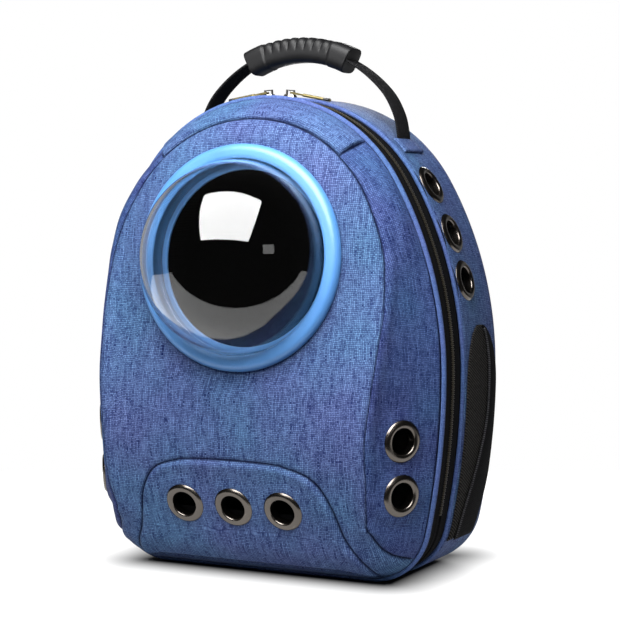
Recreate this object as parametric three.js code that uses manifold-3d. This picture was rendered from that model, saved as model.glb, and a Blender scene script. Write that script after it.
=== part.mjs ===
// Bubble pet carrier backpack: a moulded, fabric-covered clamshell with a round window dome in its front half.
// Millimetres. +X is the viewer's right, -Y the front, +Z up. The origin is the middle of the flat base of the
// rear shell. Inside this file y = 0 is the middle of the front piping, and the last lines shift the whole part.
import * as THREE from 'three';
import Module from 'manifold-3d';
import { mergeVertices } from 'three/addons/utils/BufferGeometryUtils.js';

const wasm = await Module();
wasm.setup();

// Body outline, seen from the front
const bodyHeight = 415;
const bodyWidth = 339;
const crownRadius = 145;
const crownSweep = 60;
const lowerFlankRadius = 650;
const baseCornerRadius = 56;

// Depths, walls and gaps
const frontDepth = 70;
const rearDepth = 95;
const rearEdgeRadius = 30;
const wall = 4;
const gap = 0.3;

// Piping and zip
const frontPipingRadius = 2.7;
const rearPipingRadius = 1.8;
const zipBandWidth = 36;
const tapeThickness = 1.5;
const tapeInset = 2.8;
const coilWidth = 6;
const coilHeight = 1.8;
const coilEnd = 0.3;

// Window
const windowHeight = 276;
const windowLean = 5;
const windowSeatDepth = 47.5;
const seatBlend = 23;
const domeRadius = 83;
const ringWidth = 13.2;
const ringHeight = 9;
const domeThickness = 2.2;
const domeRise = 3;
const collarWall = 4.4;
const innerRingLip = 7;
const ringInnerRadius = domeRadius + gap;
const ringRadius = ringInnerRadius + ringWidth;
const windowHoleRadius = ringInnerRadius + collarWall + gap;
const innerRingRadius = domeRadius - innerRingLip;

// Vents
const ventFlangeRadius = 18;
const ventHoleRadius = 11;
const ventBarrelRadius = 12.4;
const ventFlangeHeight = 2.4;
const frontVentAt = 0.15783;
const frontVentSpacing = 47.4;
const rearVentSetback = 19;

// Handle
const gripLength = 99;
const gripRadius = 112;
const gripRise = 43.2;
const gripWidth = 27;
const gripThickness = 22.5;
const ribCount = 8;
const webWidth = 25;
const webThickness = 2;
const webBaseAngle = 43;
const handleSetback = 26;

// Sliders and pulls
const sliderSpacing = 21;
const sliderMiddle = 2.5;
const sliderLength = 14;
const sliderWidth = 9;
const sliderPlate = 2.2;
const bridgeLength = 8;
const bridgeWindow = 3;
const bridgeBar = 1;
const pullLength = 38;
const pullWidth = 7;
const pullThickness = 1.5;
const pullDroop = 6;

// Back pad and shoulder straps
const padThickness = 12;
const padInset = 40;
const strapWidth = 60;
const strapThickness = 12;
const strapReach = 30;
const buckleWidth = 36;
const buckleHeight = 30;
const buckleThickness = 5;

// The edge of the front panel, from the middle of the base (at 0) round to the top of the arch (at 1): how far it
// lies inside the outline, how far in front of the rim, and how far the wall between swells (+) or is scooped (-)
const panelEdge = [
  { at: 0, inset: 0.124, depth: 0.69, swell: 0.024 },
  { at: 0.157, inset: 0.124, depth: 0.66, swell: 0.024 },
  { at: 0.215, inset: 0.106, depth: 0.63, swell: 0.020 },
  { at: 0.28, inset: 0.106, depth: 0.74, swell: 0.012 },
  { at: 0.33, inset: 0.109, depth: 0.88, swell: 0.003 },
  { at: 0.41, inset: 0.121, depth: 0.96, swell: -0.004 },
  { at: 0.47, inset: 0.115, depth: 0.92, swell: -0.006 },
  { at: 0.53, inset: 0.105, depth: 0.82, swell: -0.006 },
  { at: 0.585, inset: 0.088, depth: 0.70, swell: -0.002 },
  { at: 0.625, inset: 0.077, depth: 0.63, swell: 0.004 },
  { at: 0.665, inset: 0.065, depth: 0.57, swell: 0.012 },
  { at: 0.715, inset: 0.059, depth: 0.53, swell: 0.018 },
  { at: 0.76, inset: 0.058, depth: 0.48, swell: 0.014 },
  { at: 0.82, inset: 0.059, depth: 0.44, swell: 0.002 },
  { at: 0.84, inset: 0.059, depth: 0.42, swell: 0.014 },
  { at: 0.9, inset: 0.060, depth: 0.39, swell: 0.012 },
  { at: 1, inset: 0.062, depth: 0.37, swell: 0.008 },
];

// Depth of the front panel on its centre line, as a share of frontDepth, against height as a share of bodyHeight
const panelProfile = [
  { height: 0, depth: 0 },
  { height: 0.101, depth: 0.62 },
  { height: 0.133, depth: 0.72 },
  { height: 0.161, depth: 0.79 },
  { height: 0.205, depth: 0.88 },
  { height: 0.253, depth: 0.97 },
  { height: 0.313, depth: 1.0 },
  { height: 0.386, depth: 0.96 },
  { height: 0.439, depth: 0.9 },
  { height: 0.496, depth: 0.83 },
  { height: 0.554, depth: 0.77 },
  { height: 0.665, depth: 0.7 },
  { height: 0.723, depth: 0.67 },
  { height: 0.839, depth: 0.6 },
  { height: 0.901, depth: 0.54 },
  { height: 0.925, depth: 0.47 },
  { height: 0.95, depth: 0.37 },
];

// The bell-shaped raised field round the three front vents: half its width, as a share of bodyWidth
const reliefHeight = 3.4;
const reliefSoftness = 7;
const reliefBell = [
  { height: 0, half: 0.345 },
  { height: 0.04, half: 0.328 },
  { height: 0.065, half: 0.312 },
  { height: 0.085, half: 0.298 },
  { height: 0.108, half: 0.286 },
  { height: 0.14, half: 0.276 },
  { height: 0.171, half: 0.265 },
  { height: 0.202, half: 0.246 },
  { height: 0.227, half: 0.218 },
  { height: 0.246, half: 0.15 },
  { height: 0.253, half: 0 },
];

const fabric = new THREE.MeshStandardMaterial({ color: 0x4263ad, roughness: 0.9, metalness: 0 });
const pipingFabric = new THREE.MeshStandardMaterial({ color: 0x4a70c0, roughness: 0.85, metalness: 0 });
const blackTape = new THREE.MeshStandardMaterial({ color: 0x141416, roughness: 0.85, metalness: 0 });
const coilPlastic = new THREE.MeshStandardMaterial({ color: 0x4a3f2c, roughness: 0.5, metalness: 0 });
const bluePlastic = new THREE.MeshStandardMaterial({ color: 0x4f9be0, roughness: 0.2, metalness: 0 });
const acrylic = new THREE.MeshStandardMaterial({
  color: 0xe6eef2, roughness: 0.05, metalness: 0, transparent: true, opacity: 0.25,
});
const gunmetal = new THREE.MeshStandardMaterial({ color: 0x4d4b4d, roughness: 0.25, metalness: 1 });
const oldBrass = new THREE.MeshStandardMaterial({ color: 0x6a6240, roughness: 0.4, metalness: 1 });
const rubber = new THREE.MeshStandardMaterial({ color: 0x1b1b1d, roughness: 0.6, metalness: 0 });
const webbing = new THREE.MeshStandardMaterial({ color: 0x18181a, roughness: 0.85, metalness: 0 });
const mesh = new THREE.MeshStandardMaterial({ color: 0x1a1a1c, roughness: 0.95, metalness: 0 });
const buckleResin = new THREE.MeshStandardMaterial({ color: 0x1c1c1e, roughness: 0.45, metalness: 0 });

const group = new THREE.Group();
const radians = THREE.MathUtils.degToRad;
const mix = THREE.MathUtils.lerp;
const smooth = (x, from, to) => THREE.MathUtils.smoothstep(x, from, to);

function add(name, geometry, material) {
  const piece = new THREE.Mesh(geometry, material);
  piece.name = name;
  group.add(piece);
  return piece;
}

// Reads a column of a table at a place between its rows
function column(table, key, place, value) {
  let row = 1;
  while (row < table.length - 1 && table[row][key] < place) row += 1;
  const low = table[row - 1];
  const high = table[row];
  const share = THREE.MathUtils.clamp((place - low[key]) / (high[key] - low[key]), 0, 1);
  return mix(low[value], high[value], share);
}

// Solids from grids of points

// rings[i][j] are points; the grid is closed along j, and either closed along i too or capped at both ends
function gridSolid(rings, closed) {
  const around = rings[0].length;
  const positions = rings.flat().flatMap((p) => [p.x, p.y, p.z]);
  const faces = [];
  const last = closed ? rings.length : rings.length - 1;
  for (let i = 0; i < last; i += 1) {
    const next = (i + 1) % rings.length;
    for (let j = 0; j < around; j += 1) {
      const beside = (j + 1) % around;
      const [a, b, c, d] = [i * around + j, i * around + beside, next * around + beside, next * around + j];
      faces.push(a, b, c, a, c, d);
    }
  }
  if (!closed) {
    for (const end of [0, rings.length - 1]) {
      const ring = rings[end];
      const middle = ring.reduce((sum, p) => sum.add(p), new THREE.Vector3()).divideScalar(around);
      const tip = positions.length / 3;
      positions.push(middle.x, middle.y, middle.z);
      for (let j = 0; j < around; j += 1) {
        const [a, b] = [end * around + j, end * around + ((j + 1) % around)];
        if (end === 0) faces.push(b, a, tip);
        else faces.push(a, b, tip);
      }
    }
  }
  const geometry = new THREE.BufferGeometry();
  geometry.setAttribute('position', new THREE.Float32BufferAttribute(positions, 3));
  geometry.setIndex(signedVolume(positions, faces) < 0 ? turned(faces) : faces);
  return geometry;
}

function signedVolume(positions, faces) {
  let sum = 0;
  const corner = (n) => new THREE.Vector3().fromArray(positions, faces[n] * 3);
  for (let n = 0; n < faces.length; n += 3) sum += corner(n).dot(corner(n + 1).cross(corner(n + 2)));
  return sum;
}

function turned(faces) {
  const result = [];
  for (let n = 0; n < faces.length; n += 3) result.push(faces[n], faces[n + 2], faces[n + 1]);
  return result;
}

function toSolid(geometry) {
  const bare = geometry.clone();
  bare.deleteAttribute('normal');
  bare.deleteAttribute('uv');
  const merged = mergeVertices(bare, 1e-4);
  return new wasm.Manifold(new wasm.Mesh({
    numProp: 3,
    vertProperties: new Float32Array(merged.attributes.position.array),
    triVerts: new Uint32Array(merged.index.array),
  }));
}

function toGeometry(solid) {
  const { vertProperties, triVerts } = solid.getMesh();
  const geometry = new THREE.BufferGeometry();
  geometry.setAttribute('position', new THREE.Float32BufferAttribute(vertProperties, 3));
  geometry.setIndex(new THREE.Uint32BufferAttribute(triVerts, 1));
  return geometry;
}

// The body outline: half of it as arcs, from the middle of the base round to the top of the arch

const sweep = radians(crownSweep);
const crownCentre = bodyHeight - crownRadius;
const flankRadius = (bodyWidth / 2 - crownRadius * Math.sin(sweep)) / (1 - Math.sin(sweep));
const flankCentreX = bodyWidth / 2 - flankRadius;
const waistHeight = crownCentre + (crownRadius - flankRadius) * Math.cos(sweep);
const lowerCentreX = bodyWidth / 2 - lowerFlankRadius;
const cornerX = lowerCentreX + Math.sqrt((lowerFlankRadius - baseCornerRadius) ** 2
  - (waistHeight - baseCornerRadius) ** 2);
const cornerAngle = Math.atan2(baseCornerRadius - waistHeight, cornerX - lowerCentreX);
const outlineArcs = [
  { x: cornerX, z: baseCornerRadius, radius: baseCornerRadius, from: -Math.PI / 2, to: cornerAngle, steps: 4 },
  { x: lowerCentreX, z: waistHeight, radius: lowerFlankRadius, from: cornerAngle, to: 0, steps: 4 },
  { x: flankCentreX, z: waistHeight, radius: flankRadius, from: 0, to: Math.PI / 2 - sweep, steps: 6 },
  { x: 0, z: crownCentre, radius: crownRadius, from: Math.PI / 2 - sweep, to: Math.PI / 2, steps: 8 },
];
const baseSteps = 2;

// Each station is a point of the outline with its outward normal and its share of the way from base to top
function halfOutline() {
  const half = [];
  for (let n = 0; n < baseSteps; n += 1) half.push({ x: (cornerX * n) / baseSteps, z: 0, nx: 0, nz: -1 });
  for (const arc of outlineArcs) {
    for (let n = 0; n < arc.steps; n += 1) {
      const angle = mix(arc.from, arc.to, n / arc.steps);
      const [nx, nz] = [Math.cos(angle), Math.sin(angle)];
      half.push({ x: arc.x + arc.radius * nx, z: arc.z + arc.radius * nz, nx, nz });
    }
  }
  half.push({ x: 0, z: bodyHeight, nx: 0, nz: 1 });
  let length = 0;
  half.forEach((point, n) => {
    if (n > 0) length += Math.hypot(point.x - half[n - 1].x, point.z - half[n - 1].z);
    point.run = length;
  });
  half.forEach((point) => { point.at = point.run / length; });
  return half;
}

const rightHalf = halfOutline();
const leftHalf = rightHalf.slice(1, -1).reverse().map((p) => ({ ...p, x: -p.x, nx: -p.nx }));
const stations = [...rightHalf, ...leftHalf];

const place = (station, inset, y) => new THREE.Vector3(
  station.x - station.nx * inset, y, station.z - station.nz * inset);

// The station at a share of the way from base to top, on the right (side 1) or the left (side -1)
function stationAt(at, side = 1) {
  const next = Math.max(1, rightHalf.findIndex((p) => p.at >= at - 1e-9));
  const [a, b] = [rightHalf[next - 1], rightHalf[next]];
  const share = (at - a.at) / (b.at - a.at);
  const [nx, nz] = [mix(a.nx, b.nx, share), mix(a.nz, b.nz, share)];
  const size = Math.hypot(nx, nz);
  return { x: side * mix(a.x, b.x, share), z: mix(a.z, b.z, share), nx: (side * nx) / size, nz: nz / size, at };
}

// The share of the way from base to top at which the outline has a height
function shareAtHeight(height) {
  const next = rightHalf.findIndex((p) => p.z >= height && p.nx > 0.5);
  const [a, b] = [rightHalf[next - 1], rightHalf[next]];
  return mix(a.at, b.at, (height - a.z) / (b.z - a.z));
}

// A band all round the outline: its section is a list of [inset, y]
const hoop = (section, path = stations, closed = true) => gridSolid(
  path.map((station) => section.map(([inset, y]) => place(station, inset, y))), closed);

const roundSection = (inset, y, radius, sides) => Array.from({ length: sides }, (_, n) => {
  const angle = (2 * Math.PI * n) / sides;
  return [inset + radius * Math.cos(angle), y + radius * Math.sin(angle)];
});

// Front shell surface

const rimInset = frontPipingRadius + gap;
const rimY = -(frontPipingRadius + gap);

function edgeOf(station) {
  return {
    inset: column(panelEdge, 'at', station.at, 'inset') * bodyWidth,
    depth: column(panelEdge, 'at', station.at, 'depth') * frontDepth,
    swell: column(panelEdge, 'at', station.at, 'swell') * bodyWidth,
  };
}

// A point of the wall between the rim (share 0) and the panel's edge (share 1), sunk into it by some depth
function wallPoint(station, share, sunk) {
  const edge = edgeOf(station);
  const [run, rise] = [edge.inset - rimInset, edge.depth + rimY];
  const length = Math.hypot(run, rise);
  const out = edge.swell * 4 * share * (1 - share) - sunk;
  const inset = rimInset + run * share - (rise / length) * out;
  const depth = -rimY + rise * share + (run / length) * out * (share < 1 ? share ** 0.5 : 1);
  return place(station, inset, -depth);
}

const edgeLine = rightHalf.map((station) => {
  const edge = edgeOf(station);
  const point = place(station, edge.inset, 0);
  return { x: point.x, z: point.z, depth: edge.depth };
});

// The panel's half width and edge depth at a height
function edgeAtHeight(z) {
  const next = Math.max(1, edgeLine.findIndex((p) => p.z >= z && p.x < edgeLine[0].x + bodyWidth));
  const [a, b] = [edgeLine[next - 1], edgeLine[next]];
  const share = THREE.MathUtils.clamp((z - a.z) / Math.max(b.z - a.z, 1e-6), 0, 1);
  return { half: mix(a.x, b.x, share), depth: mix(a.depth, b.depth, share) };
}

const leanSlope = Math.tan(radians(windowLean));

// How far the panel stands in front of the rim plane
function panelDepth(x, z) {
  const centre = column(panelProfile, 'height', z / bodyHeight, 'depth') * frontDepth;
  const edge = edgeAtHeight(z);
  const across = Math.min(1, Math.abs(x) / Math.max(edge.half, 1));
  const free = mix(centre, edge.depth, across ** 2);
  const seat = windowSeatDepth + (windowHeight - z) * leanSlope;
  const away = Math.hypot(x, z - windowHeight);
  return mix(seat, free, smooth(away, ringRadius + 1, ringRadius + 1 + seatBlend));
}

// How far the raised field stands out at a place: its full height inside the bell, none outside
function reliefRise(x, z) {
  const half = column(reliefBell, 'height', z / bodyHeight, 'half') * bodyWidth;
  const inwards = half - Math.abs(x);
  const below = reliefBell.at(-1).height * bodyHeight - z;
  return reliefHeight * smooth(Math.min(inwards, below), -reliefSoftness, reliefSoftness);
}

const seatRadius = ringRadius + 1.5;
const holeTrim = 4;
const outerRows = { wall: [0, 0.1, 0.35, 0.65, 0.9, 1], panel: [0.12, 0.27, 0.44, 0.63, 0.82, 1] };
const innerRows = { wall: [0, 0.5, 1], panel: [0.4, 1] };

// One skin of the front shell, as rings from the rim to the panel's edge, the window's seat and its hole
function frontSkin(sunk, rows) {
  const rings = rows.wall.map((share) => stations.map((station) => {
    const point = wallPoint(station, share, sunk);
    const risen = sunk === 0 ? reliefRise(point.x, point.z) * smooth(share, 0.1, 0.6) : 0;
    return point.add(new THREE.Vector3(0, -risen, 0));
  }));
  const edgeRing = rings.at(-1);
  const panelRing = (radius, share) => edgeRing.map((point) => {
    const angle = Math.atan2(point.x, point.z - windowHeight);
    const x = mix(point.x, radius * Math.sin(angle), share);
    const z = mix(point.z, windowHeight + radius * Math.cos(angle), share);
    const risen = sunk === 0 ? reliefRise(x, z) : 0;
    return new THREE.Vector3(x, sunk - panelDepth(x, z) - risen, z);
  });
  rows.panel.forEach((share) => rings.push(panelRing(seatRadius, share)));
  rings.push(panelRing(windowHoleRadius - holeTrim, 1));
  return rings;
}

// Vents: a rolled metal eyelet along +Z, its flange on z = 0

const ventSides = 8;
const ventLength = wall + 1;
const ventHoleClearance = gap;

function ventGeometry() {
  const profile = [
    [ventHoleRadius, -ventLength],
    [ventBarrelRadius - gap, -ventLength],
    [ventBarrelRadius - gap, 0],
    [ventFlangeRadius, 0],
    [ventFlangeRadius - 2, ventFlangeHeight],
    [ventHoleRadius, ventFlangeHeight * 0.5],
    [ventHoleRadius, -ventLength],
  ].map(([r, z]) => new THREE.Vector2(r, z));
  return new THREE.LatheGeometry(profile, ventSides).rotateX(Math.PI / 2);
}

function ventCutter() {
  const reach = ventLength * 3;
  return new THREE.CylinderGeometry(
    ventBarrelRadius + ventHoleClearance, ventBarrelRadius + ventHoleClearance, 2 * reach, ventSides,
  ).rotateX(Math.PI / 2);
}

// Turns +Z of a geometry to a normal and moves its origin to a point
function aim(geometry, point, normal) {
  const turn = new THREE.Quaternion().setFromUnitVectors(new THREE.Vector3(0, 0, 1), normal);
  return geometry.applyQuaternion(turn).translate(point.x, point.y, point.z);
}

const asPlain = (geometry) => {
  const bare = geometry.clone();
  bare.deleteAttribute('normal');
  bare.deleteAttribute('uv');
  return mergeVertices(bare, 1e-4);
};

// The surface's normal from two steps across it
function normalAt(surface, a, b, step) {
  const point = surface(a, b);
  const across = surface(a + step, b).sub(point);
  const along = surface(a, b + step).sub(point);
  return { point, normal: across.cross(along).normalize() };
}

const panelSurface = (x, z) => new THREE.Vector3(x, -panelDepth(x, z) - reliefRise(x, z), z);

// Front vents: three in the raised field and two in each scooped side wall
const sideWallVents = [{ name: 1, height: 0.302 }, { name: 2, height: 0.19 }];
const sideWallShare = 0.5;
const panelLift = 1;
const wallLift = 1.6;
const frontVents = [-1, 0, 1].map((n) => ({
  name: `front_vent_${n + 2}`,
  lift: panelLift,
  ...normalAt(panelSurface, n * frontVentSpacing, frontVentAt * bodyHeight, 8),
}));
for (const [sideName, side] of [['left', -1], ['right', 1]]) {
  for (const vent of sideWallVents) {
    const at = shareAtHeight(vent.height * bodyHeight);
    const surface = (a, b) => wallPoint(stationAt(a, side), b, 0);
    const found = normalAt(surface, at, sideWallShare, 0.02);
    if (found.normal.x * side < 0) found.normal.negate();
    frontVents.push({ name: `shell_vent_${sideName}_${vent.name}`, lift: wallLift, ...found });
  }
}

function cutVents(solid, vents) {
  return vents.reduce((whole, vent) => whole.subtract(toSolid(aim(ventCutter(), vent.point, vent.normal))), solid);
}

function addVents(vents) {
  for (const vent of vents) {
    const seat = vent.point.clone().addScaledVector(vent.normal, vent.lift);
    add(vent.name, asPlain(aim(ventGeometry(), seat, vent.normal)), gunmetal);
  }
}

const windowNormal = new THREE.Vector3(0, -Math.cos(radians(windowLean)), Math.sin(radians(windowLean)));
const windowPoint = new THREE.Vector3(0, -windowSeatDepth, windowHeight);
const ringSides = 32;
const windowCutter = aim(new THREE.CylinderGeometry(
  windowHoleRadius, windowHoleRadius, wall * 6, ringSides).rotateX(Math.PI / 2), windowPoint, windowNormal);
const frontRings = [...frontSkin(0, outerRows), ...frontSkin(wall, innerRows).reverse()];
const frontSolid = toSolid(gridSolid(frontRings, true)).subtract(toSolid(windowCutter));
add('front_shell', toGeometry(cutVents(frontSolid, frontVents)), fabric);
addVents(frontVents);

// Piping, zip tape and coil

const tapeStart = frontPipingRadius + gap;
const tapeEnd = tapeStart + zipBandWidth;
const rearPipingY = tapeEnd + rearPipingRadius + gap;
const rearStart = rearPipingY + rearPipingRadius + gap;
const coilY = (tapeStart + tapeEnd) / 2;

add('front_piping', hoop(roundSection(frontPipingRadius, 0, frontPipingRadius, 6)), pipingFabric);
add('zip_tape', hoop([
  [tapeInset, tapeStart],
  [tapeInset, tapeEnd],
  [tapeInset + tapeThickness, tapeEnd],
  [tapeInset + tapeThickness, tapeStart],
]), blackTape);
add('rear_piping', hoop(roundSection(rearPipingRadius, rearPipingY, rearPipingRadius, 5)), pipingFabric);

const coilPath = stations.filter((station) => station.at >= coilEnd);
const coilBase = tapeInset - gap;
add('zip_coil', hoop([
  [coilBase, coilY - coilWidth / 2],
  [coilBase - coilHeight * 0.7, coilY - coilWidth / 2],
  [coilBase - coilHeight, coilY],
  [coilBase - coilHeight * 0.7, coilY + coilWidth / 2],
  [coilBase, coilY + coilWidth / 2],
], coilPath, false), coilPlastic);

// Rear shell: a deep tray with a rounded rear edge and a flat back

const edgeStart = rearStart + rearDepth - rearEdgeRadius;
const rearBack = rearStart + rearDepth;
const outerTurns = [0.3, 0.65, 1];
const innerTurns = [0.5, 1];
const lipRound = 2;

// How far the outside of the rear shell lies inside the outline
function rearInset(y) {
  const into = THREE.MathUtils.clamp((y - edgeStart) / rearEdgeRadius, 0, 1);
  return rearEdgeRadius * (1 - Math.sqrt(1 - into ** 2));
}

function rearSkin(sunk) {
  const rows = sunk === 0
    ? [[lipRound * 0.6, rearStart], [0, rearStart + lipRound], [0, edgeStart]]
    : [[sunk, rearStart], [sunk, edgeStart]];
  for (const turn of sunk === 0 ? outerTurns : innerTurns) {
    const angle = (turn * Math.PI) / 2;
    const radius = rearEdgeRadius - sunk;
    rows.push([rearEdgeRadius - radius * Math.cos(angle), edgeStart + radius * Math.sin(angle)]);
  }
  return rows.map(([inset, y]) => stations.map((station) => place(station, inset, y)));
}

const rearVentY = rearStart + rearVentSetback;
const rearVentHeights = [0.813, 0.713, 0.616];
const rearVents = [];
for (const [sideName, side] of [['left', -1], ['right', 1]]) {
  rearVentHeights.forEach((height, n) => {
    const station = stationAt(shareAtHeight(height * bodyHeight), side);
    rearVents.push({
      name: `side_vent_${sideName}_${n + 1}`,
      lift: 2 * gap,
      point: place(station, 0, rearVentY),
      normal: new THREE.Vector3(station.nx, 0, station.nz),
    });
  });
}
const rearRings = [...rearSkin(wall).reverse(), ...rearSkin(0)];
add('rear_shell', toGeometry(cutVents(toSolid(gridSolid(rearRings, false)), rearVents)), fabric);
addVents(rearVents);

// Window: ring, dome and inner retaining ring, turned about the leaning window axis

const collarLength = wall + 2;
const innerRingDepth = 3;
const ringProfile = [
  [ringInnerRadius, -collarLength],
  [windowHoleRadius - gap, -collarLength],
  [windowHoleRadius - gap, gap],
  [ringRadius - 0.5, gap],
  [ringRadius, ringHeight * 0.35],
  [ringRadius - 1.2, ringHeight * 0.75],
  [ringRadius - 4, ringHeight],
  [ringInnerRadius + 1.5, ringHeight],
  [ringInnerRadius, ringHeight * 0.8],
  [ringInnerRadius, -collarLength],
];
const innerRingProfile = [
  [innerRingRadius, -collarLength - innerRingDepth],
  [windowHoleRadius + 2, -collarLength - innerRingDepth],
  [windowHoleRadius + 2, -collarLength - gap],
  [innerRingRadius, -collarLength - gap],
  [innerRingRadius, -collarLength - innerRingDepth],
];
const domeSteps = 4;

function domeProfile() {
  const profile = [[domeRadius - domeThickness, -collarLength]];
  profile.push([domeRadius, -collarLength]);
  for (let n = 0; n < domeSteps; n += 1) {
    const angle = (n / domeSteps) * (Math.PI / 2);
    profile.push([domeRadius * Math.cos(angle), domeRise + domeRadius * Math.sin(angle)]);
  }
  profile.push([0, domeRadius + domeRise]);
  const inside = domeRadius - domeThickness;
  profile.push([0, inside + domeRise]);
  for (let n = domeSteps - 1; n >= 0; n -= 1) {
    const angle = (n / domeSteps) * (Math.PI / 2);
    profile.push([inside * Math.cos(angle), domeRise + inside * Math.sin(angle)]);
  }
  profile.push([inside, -collarLength]);
  return profile;
}

function windowPiece(name, profile, material) {
  const points = profile.map(([r, z]) => new THREE.Vector2(r, z));
  const turnedPiece = new THREE.LatheGeometry(points, ringSides).rotateX(Math.PI / 2);
  add(name, asPlain(aim(turnedPiece, windowPoint, windowNormal)), material);
}

windowPiece('window_ring', ringProfile, bluePlastic);
windowPiece('window_dome', domeProfile(), acrylic);
windowPiece('window_inner_ring', innerRingProfile, bluePlastic);

// Side panels on the rear shell: a mesh field with a round top, and a flat pocket over its lower rear part

const meshThickness = 1.4;
const meshBase = 0.075;
const meshTop = 0.522;
const meshMargin = 2;
const meshFront = rearStart + meshMargin;
const meshRear = edgeStart - 2 * gap;
const meshSeat = 0.6;

// Where a row across a patch has its points: one lies on the line where the rear edge starts to turn in
function acrossTheEdge(front, rear) {
  const turn = Math.min(edgeStart, mix(front, rear, 0.8));
  return [front, mix(front, turn, 0.5), turn, mix(turn, rear, 0.5), rear];
}

// A thin patch on the side: rows run up the side, and limits(share) gives its front and rear edge on each row
function sidePatch(side, lift, thickness, limits) {
  const [low, high] = [shareAtHeight(meshBase * bodyHeight), shareAtHeight(meshTop * bodyHeight)];
  const crowned = [0.86, 0.93, 0.975, 1].map((share) => mix(low, high, share));
  const rows = [low, ...rightHalf.map((p) => p.at).filter((at) => at > low && at < crowned[0]), ...crowned];
  const rings = [];
  for (const at of rows) {
    const share = (at - low) / (high - low);
    const station = stationAt(at, side);
    const [front, rear] = limits(share);
    const outer = [];
    const inner = [];
    for (const y of acrossTheEdge(front, rear)) {
      outer.push(place(station, rearInset(y) - lift - thickness, y));
      inner.unshift(place(station, rearInset(y) - lift, y));
    }
    rings.push([...outer, ...inner]);
  }
  return gridSolid(rings, false);
}

// The field narrows to a round top and a little towards its base
function meshLimits(share) {
  const crown = share > 0.72 ? Math.sqrt(Math.max(0, 1 - ((share - 0.72) / 0.285) ** 2)) : 1;
  const foot = 1 - 0.3 * (1 - smooth(share, 0, 0.3));
  const middle = (meshFront + meshRear) / 2;
  const half = ((meshRear - meshFront) / 2) * crown;
  return [middle - half, middle + half * foot];
}

// The pocket's mouth runs from the top of the field down to the front of its base
function pocketLimits(share) {
  const [front, rear] = meshLimits(share);
  const mouth = 0.22 + 0.5 * smooth(share, 0, 0.65);
  return [mix(front, rear, mouth), rear];
}

for (const [sideName, side] of [['left', -1], ['right', 1]]) {
  add(`side_mesh_${sideName}`, sidePatch(side, meshSeat, meshThickness, meshLimits), mesh);
  add(`side_pocket_${sideName}`, sidePatch(side, meshSeat + meshThickness + gap, 1, pocketLimits), mesh);
}

// Handle: a moulded grip on a webbing that is sewn to the rear shell under two fabric tabs

const handleY = rearStart + handleSetback;
const gripTop = bodyHeight + gripRise;
const gripCentreZ = gripTop - gripRadius;
const gripHalfAngle = Math.asin(gripLength / 2 / gripRadius);
const webOnShell = gap + webThickness / 2;
const webLegs = [
  { run: 0.39, drop: 0.185 },
  { run: 0.72, drop: 0.42 },
  { run: 0.91, drop: 0.67 },
  { run: 0.98, drop: 0.87 },
  { run: 1, drop: 1 },
];
const crownPoint = (angle, out) => new THREE.Vector2(
  (crownRadius + out) * Math.sin(angle), crownCentre + (crownRadius + out) * Math.cos(angle));

function handlePath(extra = 0) {
  const points = [];
  const arcSteps = 10;
  for (let n = 0; n <= arcSteps; n += 1) {
    const angle = mix(-gripHalfAngle, gripHalfAngle, n / arcSteps) * (1 + extra);
    points.push(new THREE.Vector2(gripRadius * Math.sin(angle), gripCentreZ + gripRadius * Math.cos(angle)));
  }
  return points;
}

function webbingPath() {
  const arc = handlePath();
  const end = arc.at(-1);
  const base = crownPoint(radians(webBaseAngle), webOnShell);
  const leg = webLegs.map(({ run, drop }) => new THREE.Vector2(
    mix(end.x, base.x, run), mix(end.y, base.y, drop)));
  const curve = new THREE.SplineCurve([arc.at(-3), end, ...leg]);
  const right = curve.getPoints(16).filter((p) => p.x > end.x + 1 || p.y < end.y - 1);
  const left = right.map((p) => new THREE.Vector2(-p.x, p.y)).reverse();
  return [...left, ...arc, ...right];
}

// Sweeps a section, given as [out, y] about the path, along a path in the XZ plane
function flatSweep(path, y, sectionAt) {
  const rings = path.map((point, n) => {
    const before = path[Math.max(0, n - 1)];
    const after = path[Math.min(path.length - 1, n + 1)];
    const along = after.clone().sub(before).normalize();
    const out = new THREE.Vector2(-along.y, along.x);
    return sectionAt(n / (path.length - 1)).map(([lift, across]) => new THREE.Vector3(
      point.x + out.x * lift, y + across, point.y + out.y * lift));
  });
  return gridSolid(rings, false);
}

const strip = (thickness, width) => [
  [-thickness / 2, -width / 2],
  [-thickness / 2, width / 2],
  [thickness / 2, width / 2],
  [thickness / 2, -width / 2],
];

const gripStepsPerRib = 3;
const ribbedShare = 0.66;
const gripSides = 8;
const ribDepth = 2.2;

// The grip's section at a share of its length: rounded, thicker at the two collars, grooved across its top
function gripSection(share) {
  const fromMiddle = Math.abs(share - 0.5) * 2;
  const collar = 1 + 0.05 * smooth(fromMiddle, ribbedShare, ribbedShare + 0.06);
  const phase = ((share - 0.5) / ribbedShare) * ribCount;
  const ribbed = fromMiddle < ribbedShare ? 0.5 - 0.5 * Math.cos(2 * Math.PI * (phase + ribCount / 2)) : 1;
  return Array.from({ length: gripSides }, (_, n) => {
    const angle = (2 * Math.PI * (n + 0.5)) / gripSides;
    const [c, s] = [Math.cos(angle), Math.sin(angle)];
    const square = (c ** 4 + s ** 4) ** -0.25;
    const top = c > 0.2 ? ribDepth * (1 - ribbed) : 0;
    return [c * square * (gripThickness / 2) * collar - top, s * square * (gripWidth / 2) * collar];
  });
}

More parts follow.
